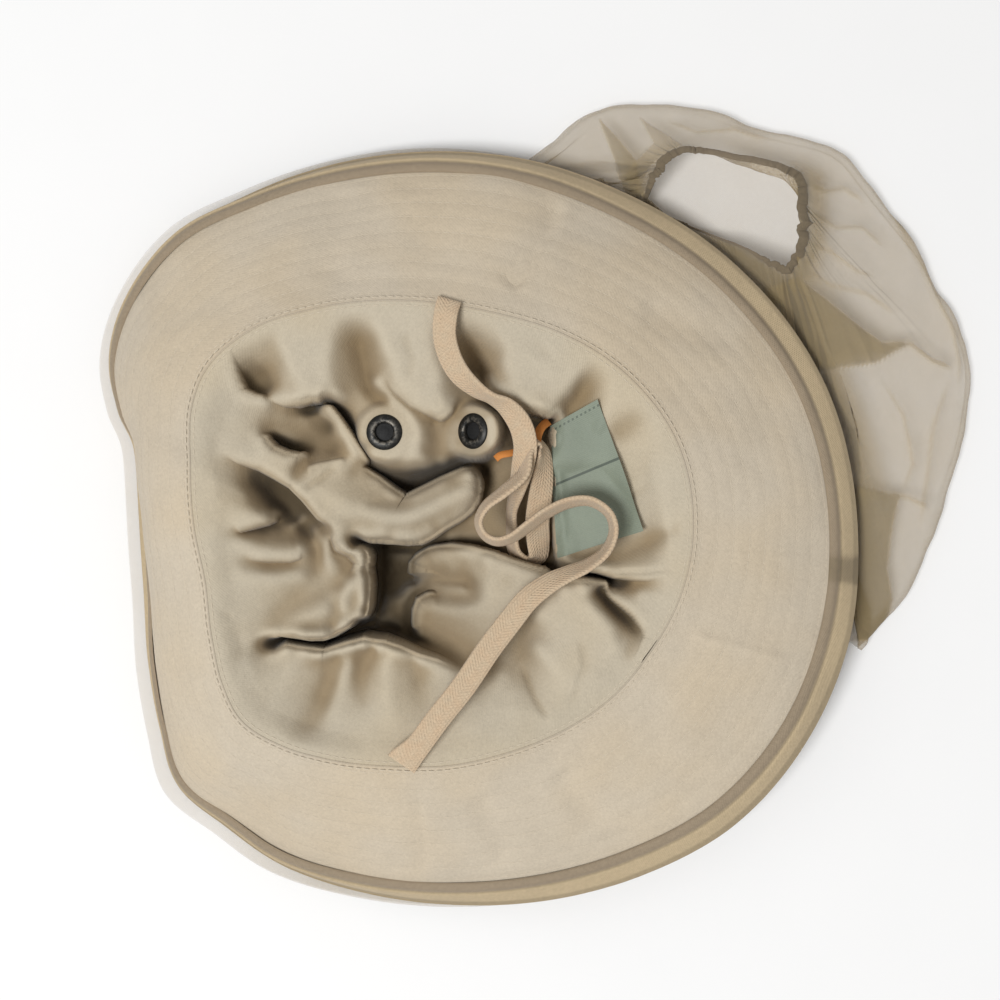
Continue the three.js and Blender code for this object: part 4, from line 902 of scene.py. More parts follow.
def stitches_round(loop, ups, spacing, shift=0.0):
    """Middles, runs and ups of stitches at even spaces round a loop of places."""
    ring = np.vstack([loop, loop[:1]])
    gone = np.concatenate([[0], np.cumsum(np.linalg.norm(np.diff(ring, axis=0), axis=1))])
    count = int(gone[-1] / spacing)
    spots = (np.arange(count) + shift) / count % 1 * gone[-1]
    middle, ahead = (np.stack([np.interp(at, gone, column) for column in ring.T], 1)
                     for at in (spots, (spots + 0.5) % gone[-1]))
    run = ahead - middle
    near = np.clip(np.searchsorted(gone, spots), 0, len(loop) - 1)
    return middle, run / np.linalg.norm(run, axis=1, keepdims=True), ups[near]


class Value:
    """A node's output that Python expressions can use."""

    def __init__(self, finish, socket):
        self.finish = finish
        self.socket = socket

    def __add__(self, other):
        return self.finish.math("ADD", self, other)

    def __sub__(self, other):
        return self.finish.math("SUBTRACT", self, other)

    def __rsub__(self, other):
        return self.finish.math("SUBTRACT", other, self)

    def __mul__(self, other):
        return self.finish.math("MULTIPLY", self, other)

    def __pow__(self, other):
        return self.finish.math("POWER", self, other)

    __radd__ = __add__
    __rmul__ = __mul__


class Finish:
    """A material's node tree while it is being written."""

    def __init__(self, name):
        self.material = bpy.data.materials.new(name)
        self.material.use_nodes = True
        self.tree = self.material.node_tree
        self.tree.nodes.clear()

    def node(self, kind, settings=None, inputs=None, out=0):
        """Any node: its settings first, then the values or links of its sockets."""
        made = self.tree.nodes.new("ShaderNode" + kind)
        for key, value in (settings or {}).items():
            if key == "stops":
                while len(made.color_ramp.elements) < len(value):
                    made.color_ramp.elements.new(0.5)
                for element, (at, colour) in zip(made.color_ramp.elements, value):
                    element.position = at
                    element.color = (*colour, 1)
            else:
                setattr(made, key, value)
        for key, value in (inputs or {}).items():
            if isinstance(value, Value):
                self.tree.links.new(value.socket, made.inputs[key])
            else:
                made.inputs[key].default_value = value
        return Value(self, made.outputs[out]) if made.outputs else None

    def math(self, operation, *values):
        return self.node("Math", {"operation": operation}, dict(enumerate(values)))

    def wave(self, value, pitch):
        """A sine wave over a value, with its crests a pitch apart."""
        return self.math("SINE", value * (2 * math.pi / pitch))

    def clamp(self, value):
        return self.node("Clamp", {}, {"Value": value, "Min": 0.0, "Max": 1.0})

    def ease(self, value, start, end):
        return self.node("MapRange", {"interpolation_type": "SMOOTHSTEP"},
                         {"Value": value, "From Min": start, "From Max": end})

    def blend(self, factor, a, b):
        paint = lambda c: c if isinstance(c, Value) else (*c, 1)
        return self.node("Mix", {"data_type": "RGBA"}, {0: factor, 6: paint(a), 7: paint(b)}, out=2)

    def shaded(self, colour, amount):
        """A colour made lighter or darker by an amount round 1."""
        grey = self.node("CombineColor", {}, {0: amount, 1: amount, 2: amount})
        return self.node("Mix", {"data_type": "RGBA", "blend_type": "MULTIPLY"},
                         {0: 1.0, 6: colour, 7: grey}, out=2)

    def mark(self, name):
        return self.node("Attribute", {"attribute_name": name}, out=2)

    def cloth_place(self):
        """The cloth's own two directions, in millimetres."""
        uv = self.node("UVMap", {"uv_map": "Cloth"})
        split = self.tree.nodes.new("ShaderNodeSeparateXYZ")
        self.tree.links.new(uv.socket, split.inputs[0])
        return Value(self, split.outputs[0]) * 1000, Value(self, split.outputs[1]) * 1000

    def noise(self, size, detail=2.0, rough=0.5):
        """Noise round 0.5 with blotches of a size in millimetres."""
        place = self.node("TexCoord", {}, out=3)
        return self.node("TexNoise", {}, {"Vector": place, "Scale": 1000 / size, "Detail": detail,
                                          "Roughness": rough})

    def bump(self, height, strength, distance=0.0002, under=None):
        inputs = {"Height": height, "Strength": strength, "Distance": distance}
        if under is not None:
            inputs["Normal"] = under
        return self.node("Bump", {}, inputs)

    def surface(self, **sockets):
        names = {"colour": "Base Color", "rough": "Roughness", "metal": "Metallic", "alpha": "Alpha",
                 "normal": "Normal", "sheen": "Sheen Weight", "gloss": "Specular IOR Level"}
        inputs = {}
        for key, value in sockets.items():
            if key == "colour" and not isinstance(value, Value):
                value = (*value, 1)
            inputs[names[key]] = value
        shader = self.node("BsdfPrincipled", {}, inputs)
        self.node("OutputMaterial", {}, {"Surface": shader})
        return self.material


def tinted(colour, red, green, blue):
    return [part * by for part, by in zip(colour, (red, green, blue))]


def twill(name, colour, shade=0.0, paler_crests=0.0):
    """Cotton twill: a fine diagonal weave, uneven dye, painted shade in its valleys and hollows, and crests
    painted paler.
    """
    finish = Finish(name)
    along, across = finish.cloth_place()
    ribs = finish.wave(along + across, 0.62)
    yarns = finish.wave(along - across, 1.3)
    slub = finish.noise(1.1, 3.0, 0.7)
    blotch = finish.noise(26, 3.0)
    crush = finish.noise(7, 4.0, 0.6)
    tone = 1 + (slub - 0.5) * 0.34 + (blotch - 0.5) * 0.13 + (crush - 0.5) * 0.1 + ribs * 0.012
    faded = finish.ease(finish.noise(48, 2.0), 0.35, 0.65)
    painted = finish.blend(faded, tinted(colour, 1.01, 0.993, 0.965),
                           tinted(colour, 0.985, 1, 1.03))
    painted = finish.shaded(painted, tone)
    # Painted shade: the valleys, the cloth that higher cloth hides from the sky, and the deepest hollows are
    # painted darker and browner.
    if shade:
        valley = finish.clamp(finish.mark("valley"))
        painted = finish.blend(valley * shade, painted, tinted(colour, 0.5, 0.42, 0.3))
        painted = finish.blend(finish.mark("shaded") * 0.75, painted, tinted(colour, 0.5, 0.4, 0.27))
        painted = finish.blend(finish.mark("deep") * 0.85, painted, tinted(colour, 0.12, 0.1, 0.07))
    # The crests of the folds are painted paler by this share.
    if paler_crests:
        crest = finish.clamp(finish.mark("crest"))
        painted = finish.blend(crest * paler_crests, painted, [min(1, c * 1.12) for c in colour])
    normal = finish.bump(ribs * 0.2 + yarns * 0.1 + slub, 0.5, 0.0003)
    normal = finish.bump(crush, 0.35, 0.0014, normal)
    return finish.surface(colour=painted, rough=0.86 + slub * 0.1, normal=normal, sheen=0.12,
                          gloss=0.25)


def thread(name, colour):
    finish = Finish(name)
    twist = finish.noise(0.5, 2.0)
    painted = finish.shaded((*colour, 1), 0.85 + twist * 0.3)
    return finish.surface(colour=painted, rough=0.75, normal=finish.bump(twist, 0.4))


def veil(name, colour, cover):
    """The see-through net: steeper and doubled cloth stops more light, and where layers stack the net is
    painted darker as shade.
    """
    finish = Finish(name)
    along, across = finish.cloth_place()
    mesh = finish.wave(along, NET_MESH) * finish.wave(across, NET_MESH)
    blotch = finish.noise(22, 3.0)
    fine = finish.noise(1.6, 2.0, 0.6)
    layers = finish.mark("layers")
    open_share = 1 - cover * (0.93 + (blotch - 0.5) * 0.3 + (fine - 0.5) * 0.2 + mesh * 0.08)
    alpha = finish.clamp(1 - open_share**layers)
    # Painted shade: the more layers lie on each other, the darker the net is painted.
    painted = finish.blend(finish.ease(layers, 1.5, 5), colour, tinted(colour, 0.62, 0.62, 0.58))
    painted = finish.shaded(painted, 0.9 + blotch * 0.2)
    normal = finish.bump(mesh + fine, 0.3, 0.0002)
    return finish.surface(colour=painted, rough=0.8, alpha=alpha, normal=normal, sheen=0.1, gloss=0.2)


def hem_finish(name, colour):
    """The hem band's folded net: a dark strip sewn on the brim, a stitched line, a lighter fold."""
    finish = Finish(name)
    along, across = finish.cloth_place()
    mesh = finish.wave(along, NET_MESH) * finish.wave(across, NET_MESH)
    fine = finish.noise(1.3, 3.0, 0.7)
    blotch = finish.noise(30, 2.0)
    strip = 1 - finish.ease(across, 4.6, 6.2)
    line = finish.ease(across, 5.0, 5.6) * (1 - finish.ease(across, 5.9, 6.6))
    rim = finish.ease(across, 11.5, 13.0)
    lap = finish.clamp(finish.mark("lap"))
    dark = tinted(colour, 0.62, 0.62, 0.68)
    painted = finish.blend(strip, colour, dark)
    painted = finish.blend(finish.clamp(line * 0.35 + rim * 0.5 + lap * 0.75), painted,
                           [c * 0.45 for c in colour])
    painted = finish.shaded(painted, 1 + (fine - 0.5) * 0.45 + (blotch - 0.5) * 0.2 + mesh * 0.07)
    normal = finish.bump(mesh * 0.5 + fine, 0.5, 0.0003)
    return finish.surface(colour=painted, rough=0.85, normal=normal, sheen=0.1, gloss=0.25)


def braid(name, colour):
    """Woven tape: small chevrons either side of its middle, with paler and pinker yarns."""
    finish = Finish(name)
    along, across = finish.cloth_place()
    slant = finish.math("ABSOLUTE", across)
    chevron = finish.wave(along + slant, 1.5)
    yarn = finish.wave(across, 1.1)
    fine = finish.noise(0.8, 3.0, 0.7)
    pink = finish.noise(3.5, 2.0)
    warm = tinted(colour, 1.06, 0.92, 0.84)
    painted = finish.blend(pink, colour, warm)
    painted = finish.shaded(painted, 1 + (fine - 0.5) * 0.5 + chevron * 0.03)
    normal = finish.bump(chevron * 0.35 + yarn * 0.25 + fine * 1.6, 0.7, 0.0004)
    return finish.surface(colour=painted, rough=0.85, normal=normal, sheen=0.2, gloss=0.25)


def satin(name, colour):
    """The bare label: fine woven lines, a dark seam across its middle, and a stitched top edge."""
    finish = Finish(name)
    along, across = finish.cloth_place()
    lines = finish.wave(along, 0.7)
    fine = finish.noise(0.9, 2.0)
    soft = finish.noise(12, 2.0)
    seam = finish.ease(along, 22.6, 23.0) * (1 - finish.ease(along, 23.6, 24.0))
    dashes = finish.ease(finish.wave(across, 2.6), -0.1, 0.3)
    stitches = finish.ease(along, 1.5, 1.9) * (1 - finish.ease(along, 2.3, 2.7)) * dashes
    painted = finish.blend(finish.clamp(seam * 0.75 + stitches * 0.6), colour, (0.05, 0.065, 0.055))
    painted = finish.shaded(painted, 1 + (fine - 0.5) * 0.16 + (soft - 0.5) * 0.22 + lines * 0.02)
    normal = finish.bump(lines * 0.4 + fine, 0.35)
    return finish.surface(colour=painted, rough=0.55 + soft * 0.15, normal=normal, gloss=0.4)


def blackened(name, colour):
    """Black lacquered brass, rubbed a little along its lip."""
    finish = Finish(name)
    rub = finish.noise(1.8, 4.0, 0.7)
    lip = finish.clamp(finish.mark("lip"))
    bare = finish.clamp(lip * finish.ease(rub, 0.44, 0.62))
    painted = finish.blend(bare * 0.7, colour, (0.2, 0.18, 0.15))
    return finish.surface(colour=painted, rough=0.34 + rub * 0.2, metal=0.6, normal=finish.bump(rub, 0.2),
                          gloss=0.5)


def screen(name, colour):
    """Fine wire cloth over a vent, with painted shade in the gaps between its wires."""
    finish = Finish(name)
    along, across = finish.cloth_place()
    wires = finish.math("MAXIMUM", finish.wave(along, 0.55),
                        finish.wave(across, 0.55))
    wire = finish.ease(wires, 0.35, 0.8)
    # Painted shade: the gaps between the wires are painted almost black, for the dark seen through them.
    painted = finish.blend(wire, (0.004, 0.004, 0.005), [c * 1.1 for c in colour])
    return finish.surface(colour=painted, rough=0.6, metal=0.2, normal=finish.bump(wire, 0.8, 0.0003))


def felt_tab(name, colour):
    finish = Finish(name)
    fine = finish.noise(0.7, 3.0, 0.7)
    painted = finish.shaded((*colour, 1), 0.8 + fine * 0.4)
    return finish.surface(colour=painted, rough=0.8, normal=finish.bump(fine, 0.6))


def dress(piece, material, slot, *nodes):
    """Gives a piece its finish and its place on the hat's one body."""
    piece.data.materials.clear()
    piece.data.materials.append(material)
    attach(piece, "root")
    if nodes:
        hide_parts(*nodes)
    return piece


# The camera looks straight down: where it is, and half the width that it sees at a distance, in metres.
VIEW = {"from": (0.02326, 0.01202, 0.795), "half_width": 0.1938, "distance": 0.75}


class StageOperator(bpy.types.Operator):
    """Sets the floor, the light and the camera"""

    bl_idname = "sun_hat.stage"
    bl_label = "Stage"

    def execute(self, context):
        settings = context.scene.sun_hat.stage
        context.scene.view_settings.view_transform = "Standard"
        camera = bpy.data.cameras.new("Camera")
        camera.sensor_width = 36
        camera.angle = 2 * math.atan(VIEW["half_width"] / VIEW["distance"])
        camera.clip_start = 0.05
        holder = bpy.data.objects.new("Camera", camera)
        holder.location = VIEW["from"]
        context.scene.collection.objects.link(holder)
        context.scene.camera = holder

        mesh = bpy.data.meshes.new("Floor")
        mesh.from_pydata([(-3, -3, 0), (3, -3, 0), (3, 3, 0), (-3, 3, 0)], [], [(0, 1, 2, 3)])
        floor = bpy.data.objects.new("Floor", mesh)
        context.scene.collection.objects.link(floor)
        finish = Finish("Pale Floor")
        grain = finish.noise(40, 2.0)
        painted = finish.shaded((*settings.floor_colour, 1), 0.99 + grain * 0.02)
        mesh.materials.append(finish.surface(colour=painted, rough=0.7, gloss=0.2))

        key = bpy.data.lights.new("Key", "AREA")
        key.shape = "DISK"
        key.size = 0.8
        key.energy = settings.key_power
        key.color = (0.98, 0.99, 1)
        lamp = bpy.data.objects.new("Key", key)
        aim = Vector((0.02, 0.01, 0.03))
        place = Vector((-0.7, -0.5, 2.2))
        lamp.location = aim + place
        lamp.rotation_euler = (-place).to_track_quat("-Z", "Y").to_euler()
        context.scene.collection.objects.link(lamp)
        world = bpy.data.worlds.new("Soft Room")
        world.use_nodes = True
        world.node_tree.nodes["Background"].inputs["Color"].default_value = (1, 0.98, 0.955, 1)
        world.node_tree.nodes["Background"].inputs["Strength"].default_value = settings.fill
        context.scene.world = world
        return {"FINISHED"}


def tape_frames(count):
    """The tape's middle line with the way it is wide and the way it is thick at each place."""
    dense = along_rows(TAPE_ROUTE, np.linspace(0, len(TAPE_ROUTE) - 1, 1500))
    gone = np.concatenate([[0], np.cumsum(np.linalg.norm(np.diff(dense[:, :3], axis=0), axis=1))])
    at = np.linspace(0, gone[-1], count)
    rows = np.stack([np.interp(at, gone, dense[:, i]) for i in range(4)], 1)
    middle = rows[:, :3]
    run = np.gradient(middle, axis=0)
    run /= np.linalg.norm(run, axis=1, keepdims=True)
    flat = np.stack([-run[:, 1], run[:, 0], np.zeros(count)], 1)
    flat /= np.linalg.norm(flat, axis=1, keepdims=True)
    roll = np.radians(rows[:, 3:])
    wide = flat * np.cos(roll) + np.cross(run, flat) * np.sin(roll)
    return middle, wide, np.cross(run, wide)


class ChinTapeOperator(bpy.types.Operator):
    """Lays the chin tape from one end of its loop to the other"""

    bl_idname = "sun_hat.chin_tape"
    bl_label = "Chin tape"

    def execute(self, context):
        settings = context.scene.sun_hat.trim
        width, thick = settings.tape_width / MM, settings.tape_thickness / MM
        count = 420
        middle, wide, up = tape_frames(count)
        on = np.array([-1, -0.97, -0.88, -0.5, 0, 0.5, 0.88, 0.97, 1, 0.97, 0.88, 0.5, 0, -0.5, -0.88, -0.97])
        off = np.array([0, 0.62, 1, 0.86, 0.8, 0.86, 1, 0.62, 0, -0.62, -1, -0.86, -0.8, -0.86, -1, -0.62])
        left = np.cumsum(np.linalg.norm(np.diff(middle, axis=0, append=middle[-1:]), axis=1)[::-1])[::-1]
        flare = TAPE_FLARE[1] * smooth(1 - left / TAPE_FLARE[0])
        across = (on * width / 2)[None] * (1 + np.where(on > 0, 0, flare[:, None] * 2))
        swell = off * thick / 2 * shut_ends(count)
        places = middle[:, None] + wide[:, None] * across[..., None] + up[:, None] * swell[..., None]
        within = np.hypot(places[..., 0], places[..., 1]) < seam_at(places[..., 0], places[..., 1])[0] - 3
        bed = np.where(within, sampled(stretched_map(), places[..., 0], places[..., 1]) - 0.6,
                       crown_seat(places[..., 0], places[..., 1]))
        bed = bed + np.where(past_label(places[..., 0], places[..., 1]) < 3, LABEL_CLEAR + 1, 0)
        short = np.maximum(0, (bed + TAPE_CLEAR - places[..., 2]).max(axis=1))
        spread = 7
        lift = np.array([short[max(0, i - spread):i + spread + 1].max() for i in range(count)])
        lift = np.convolve(np.pad(lift, spread, "edge"), np.ones(2 * spread + 1) / (2 * spread + 1), "valid")
        places[..., 2] += lift[:, None]
        middle[:, 2] += lift
        gone = np.concatenate([[0], np.cumsum(np.linalg.norm(np.diff(middle, axis=0), axis=1))])
        u = (gone * MM)[:, None]
        v = (np.append(on, on[0]) * width / 2 * MM)[None]
        tape = grid_piece("chin_tape_woven", places, closed=True, uv=(u, v))
        dress(tape, braid("Chin Tape", settings.tape_colour), "tape", "chin_tape")
        return {"FINISHED"}


class CrownOperator(bpy.types.Operator):
    """Makes the crumpled crown with all its folds"""

    bl_idname = "sun_hat.crown"
    bl_label = "Crown"

    def execute(self, context):
        settings = context.scene.sun_hat.cloth
        around, steps = 540, 150
        rim = rim_round(around)
        s = (np.arange(steps + 1) / steps)[:, None] ** 0.94
        seam = polar(rim, rim["seam"], rim["seam_up"])
        x = mix(seam[:, 0], HOLLOW[0], s)
        y = mix(seam[:, 1], HOLLOW[1], s)
        seam_up = np.broadcast_to(rim["seam_up"], x.shape)
        s = np.broadcast_to(s, x.shape)
        heights = stretched_map()
        hidden = sampled(hidden_sky(heights), x, y)
        x, y, up = crumpled(x, y, heights)
        inner = smooth(s / 0.15)
        up = mix(seam_up, up + 0.28 * waves(x, y, 13, 3) + 0.14 * waves(x, y, 6, 4), inner)
        places = np.stack([x, y, up], -1)
        blurred = up.copy()
        for _ in range(24):
            blurred[1:-1] = (2 * blurred[1:-1] + blurred[:-2] + blurred[2:]) / 4
            blurred = (2 * blurred + np.roll(blurred, 1, 1) + np.roll(blurred, -1, 1)) / 4
        relief = up - blurred
        # Marks for painted shade: valley from the relief, shaded and deep from the sky that higher cloth
        # hides. The crest mark paints the crests paler.
        marks = {"valley": np.clip(-relief / 2.5, 0, 1), "crest": np.clip(relief / 1.5, 0, 1),
                 "shaded": smooth((hidden - 0.1) / 0.38) * inner,
                 "deep": smooth((hidden - 0.5) / 0.25) * inner}
        u = np.linspace(0, ROUND["crown"], around + 1)[None]
        v = (np.arange(steps + 1) / steps * 0.09)[:, None]
        crown = grid_piece("crown_cloth", places[::-1], closed=True, uv=(u, v[::-1]),
                           marks={key: value[::-1] for key, value in marks.items()})
        dress(crown, twill("Crown Twill", settings.crown_colour, shade=0.6, paler_crests=0.35), "twill",
              "crown_side_upper", "crown_side_lower", "crown_top")
        return {"FINISHED"}


class BrimOperator(bpy.types.Operator):
    """Makes the stitched brim, its under face and its stitches"""

    bl_idname = "sun_hat.brim"
    bl_label = "Brim"

    def execute(self, context):
        settings = context.scene.sun_hat.cloth
        around, steps = 720, 96
        rim = rim_round(around)
        pitch = 1 / (settings.rows + 0.6)
        first = 0.055
        k = (np.arange(steps + 1) / steps)[:, None]
        swell = np.abs(np.sin(np.pi * (k - first) / pitch)) ** 0.7
        plan_x, plan_y, _ = np.moveaxis(polar(rim, brim_at(rim, k)[0][..., 0], 0), -1, 0)
        ease_in = smooth(k / 0.15) * smooth((1 - k) / 0.15)
        lift = ease_in * (1.2 * waves(plan_x, plan_y, 38, 7) + 0.35 * waves(plan_x, plan_y, 15, 8))
        for depth, left, right, path in BRIM_DENTS:
            lift = lift - depth * ease_in * crease_at(path, plan_x, plan_y, left, right, 5)
        puff = settings.puff / MM * (swell - 1) * np.ones(around) + lift
        upper = brim_face(rim, k, 1, puff)
        u = np.linspace(0, ROUND["brim"], around + 1)[None]
        face = grid_piece("brim_cloth", upper, closed=True, uv=(u, k * BRIM_WIDE * MM))
        material = twill("Brim Twill", settings.brim_colour)
        dress(face, material, "twill", "brim")
        back_rim = rim_round(360)
        share = np.linspace(0, 1, 25)[:, None]
        under = brim_face(back_rim, share, -1, np.zeros((25, 360)))
        u = np.linspace(0, ROUND["brim"], 361)[None]
        back = grid_piece("brim_back", under[::-1], closed=True, uv=(u, share * BRIM_WIDE * MM))
        dress(back, material, "twill")
        stitch = settings.stitch / MM
        normals = grid_normals(upper, True)
        sewn = []
        for row in range(settings.rows):
            index = np.argmin(np.abs(k[:, 0] - (first + row * pitch)))
            sewn.append(stitches_round(upper[index], normals[index], stitch + 0.75, 0.37 * row))
        places, faces = stitch_run(*map(np.vstack, zip(*sewn)), stitch, 0.34, 0.11)
        stitches = mesh_piece("brim_stitches", places, faces)
        dress(stitches, thread("Cream Thread", settings.thread_colour), "twill")
        return {"FINISHED"}


class SeamOperator(bpy.types.Operator):
    """Makes the piped seam round the crown's opening with its two rows of stitches"""

    bl_idname = "sun_hat.seam"
    bl_label = "Crown seam"

    def execute(self, context):
        settings = context.scene.sun_hat.cloth
        around = 900
        rim = rim_round(around)
        turns = np.radians(np.arange(0, 360, 45))[:, None]
        loops = polar(rim, rim["seam"] + 0.4 * np.cos(turns), rim["seam_up"] - 0.1 + 0.4 * np.sin(turns))
        loops = np.vstack([loops, loops[:1]])
        u = np.linspace(0, ROUND["crown"], around + 1)[None]
        v = np.linspace(0, 0.003, 9)[:, None]
        cord = grid_piece("seam_piping", loops[::-1], closed=True, uv=(u, v))
        dress(cord, twill("Piping Twill", [c * 0.85 for c in settings.brim_colour]), "twill")
        upright = np.tile([0, 0, 1.0], (around, 1))
        sewn = [stitches_round(polar(rim, rim["seam"] + out, rim["seam_up"] + up), upright, 3.1)
                for out, up in ((-1.7, 0.02), (1.5, 0.1))]
        places, faces = stitch_run(*map(np.vstack, zip(*sewn)), 2.3, 0.4, 0.14)
        stitches = mesh_piece("seam_stitches", places, faces)
        dress(stitches, thread("Seam Thread", settings.thread_colour), "twill")
        return {"FINISHED"}


class HemBandOperator(bpy.types.Operator):
    """Folds the net's hem band over the brim's edge"""

    bl_idname = "sun_hat.hem_band"
    bl_label = "Hem band"

    def execute(self, context):
        settings = context.scene.sun_hat.net
        around = 720
        rim = rim_round(around)
        share = np.arange(around) / around
        near, far = BRIM_CLOTH / 2 + 0.1, BRIM_CLOTH / 2 + HEM["stand"]
        tip = np.stack(hem_tip(rim), -1)

        def off(k, up, on):
            at, run = brim_at(rim, np.full(around, k))
            normal = np.stack([-run[:, 1], run[:, 0]], -1)
            return at + normal * up + run * on

        inner = 1 - HEM["on_brim"] / BRIM_WIDE
        corners = np.stack([
            off(inner, near, -0.2), off(inner, far - 0.7, 0.3), off(inner, far, 2.2), off(1, far - 0.6, -1.6),
            off(1, far - 0.5, 0.3), tip + (-0.6, 0.75), tip + (0.3, 0.1), tip + (-0.6, -0.6),
            off(1, -far + 0.3, 0.5), off(inner, -far + 0.3, 1), off(inner, -near, 0),
        ])
        profile = along_rows(corners, np.linspace(0, len(corners) - 1, 56))
        gone = np.concatenate([np.zeros((1, around)), np.cumsum(
            np.linalg.norm(np.diff(profile, axis=0), axis=2), axis=0)])
        ripple = 0.18 * waves(share * 900, gone, 9, 21) + 0.1 * waves(share * 900, gone, 3, 22)
        places = polar(rim, profile[..., 0], profile[..., 1] - BRIM_CLOTH / 2 + ripple)
        u = np.linspace(0, ROUND["net"], around + 1)[None]
        v = np.hstack([gone, gone[:, :1]]) * MM
        turn = (np.degrees(rim["turn"]) + 180) % 360 - 180
        lap = np.exp(-(((turn + 5.6) / 1.9) ** 8)) * np.ones((len(profile), 1))
        band = grid_piece("hem_band_folded", places, closed=True, uv=(u, v), marks={"lap": lap})
        dress(band, hem_finish("Hem Net", settings.hem_colour), "hem_net", "hem_band")
        return {"FINISHED"}


def net_rings(rim):
    """The net's sections as loops of places, from the brim's edge to the neck."""
    turn = rim["turn"] - math.radians(NET_HEADING)
    near = smooth((np.cos(turn) + 0.6) / 1.6)
    tip_reach, tip_up = hem_tip(rim)
    rings = []
    for skirt, hang, low, high in NET_HANG:
        up = mix(mix(low, high, near), tip_up - HEM["to_net"], hang)
        reach = mix(rim["edge"] + rim["skirt"] * skirt, tip_reach, hang)
        rings.append(polar(rim, reach, np.maximum(0.5, up)))
    squared = lambda value: np.sign(value) * np.abs(value) ** 0.82
    right = np.maximum(0, -np.sin(turn))
    for i, (x, y, heading, wide, near_reach, far_reach, low, high) in enumerate(NET_LOOPS):
        heading = math.radians(heading)
        along = np.array([math.cos(heading), math.sin(heading), 0])
        aside = np.array([-along[1], along[0], 0])
        reach = np.where(np.cos(turn) > 0, near_reach, -far_reach * (1 - 0.24 * right))
        reach = reach * squared(np.cos(turn))
        across = wide * (1 - 0.03 * right) * squared(np.sin(turn))
        at = np.array([x, y, 0]) + reach[:, None] * along + across[:, None] * aside
        at[:, 2] = mix(low, high, near)
        if i + len(NET_HANG) >= NET_OVER:
            at[:, 2] = np.minimum(at[:, 2], lid_at(at))
        rings.append(at)
    return np.stack(rings)


def lid_at(at):
    """How high the net's upper layer may stand and still pass under the brim's edge."""
    turn = np.arctan2(at[..., 1], at[..., 0])[..., None] - SEAM_LOOKUP["turn"]
    best = np.argmax(np.cos(turn), axis=-1)
    stand = np.maximum(SEAM_LOOKUP["skirt"], SEAM_LOOKUP["hem"])[best]
    beyond = np.hypot(at[..., 0], at[..., 1]) - SEAM_LOOKUP["edge"][best] - stand - NET_LID["clear"]
    return NET_LID["up"] + NET_LID["rise"] * np.maximum(0, beyond)


def depth_inside(corners, x, y):
    """How far places lie inside an outline of any shape; below 0 outside it."""
    inside = np.zeros(np.shape(x), bool)
    far = np.full(np.shape(x), np.inf)
    for (ax, ay), (bx, by) in zip(corners, corners[1:] + corners[:1]):
        run_x, run_y = bx - ax, by - ay
        at = np.clip(((x - ax) * run_x + (y - ay) * run_y) / (run_x**2 + run_y**2), 0, 1)
        far = np.minimum(far, np.hypot(x - ax - at * run_x, y - ay - at * run_y))
        if ay != by:
            inside ^= ((ay > y) != (by > y)) & (x < run_x * (y - ay) / run_y + ax)
    return np.where(inside, far, -far)


NET_AROUND = 600
# How far round the gathers are counted, and the half width of a crease's darker mark, in millimetres.
NET_GIRTH = 620
NET_CREASE_MARK = 0.9


def neck_at(turn):
    """The neck opening's outline, casing width and darkness at the brim's turns."""
    table = np.array(NECK, float)
    table = np.vstack([table, table[:1] + [360, 0, 0, 0, 0]])
    at = (np.degrees(turn) - table[0, 0]) % 360 + table[0, 0]
    return [np.interp(at, table[:, 0], column) for column in table.T[1:]]


def draw_net_corners(places):
    """Stands the net's edge out in its corners and draws it in between them."""
    fold_x, fold_y = NET_LOOPS[NET_OVER][:2]
    reach_x, reach_y = places[..., 0] - fold_x, places[..., 1] - fold_y
    far = np.maximum(1, np.hypot(reach_x, reach_y))
    turn = np.degrees(np.arctan2(reach_y, reach_x))
    out = sum(high * np.exp(-(((turn - at) / half) ** 2)) for at, half, high in NET_EDGE.values())
    out = out * smooth((far - 40) / 50) / far
    places[..., 0] += out * reach_x
    places[..., 1] += out * reach_y


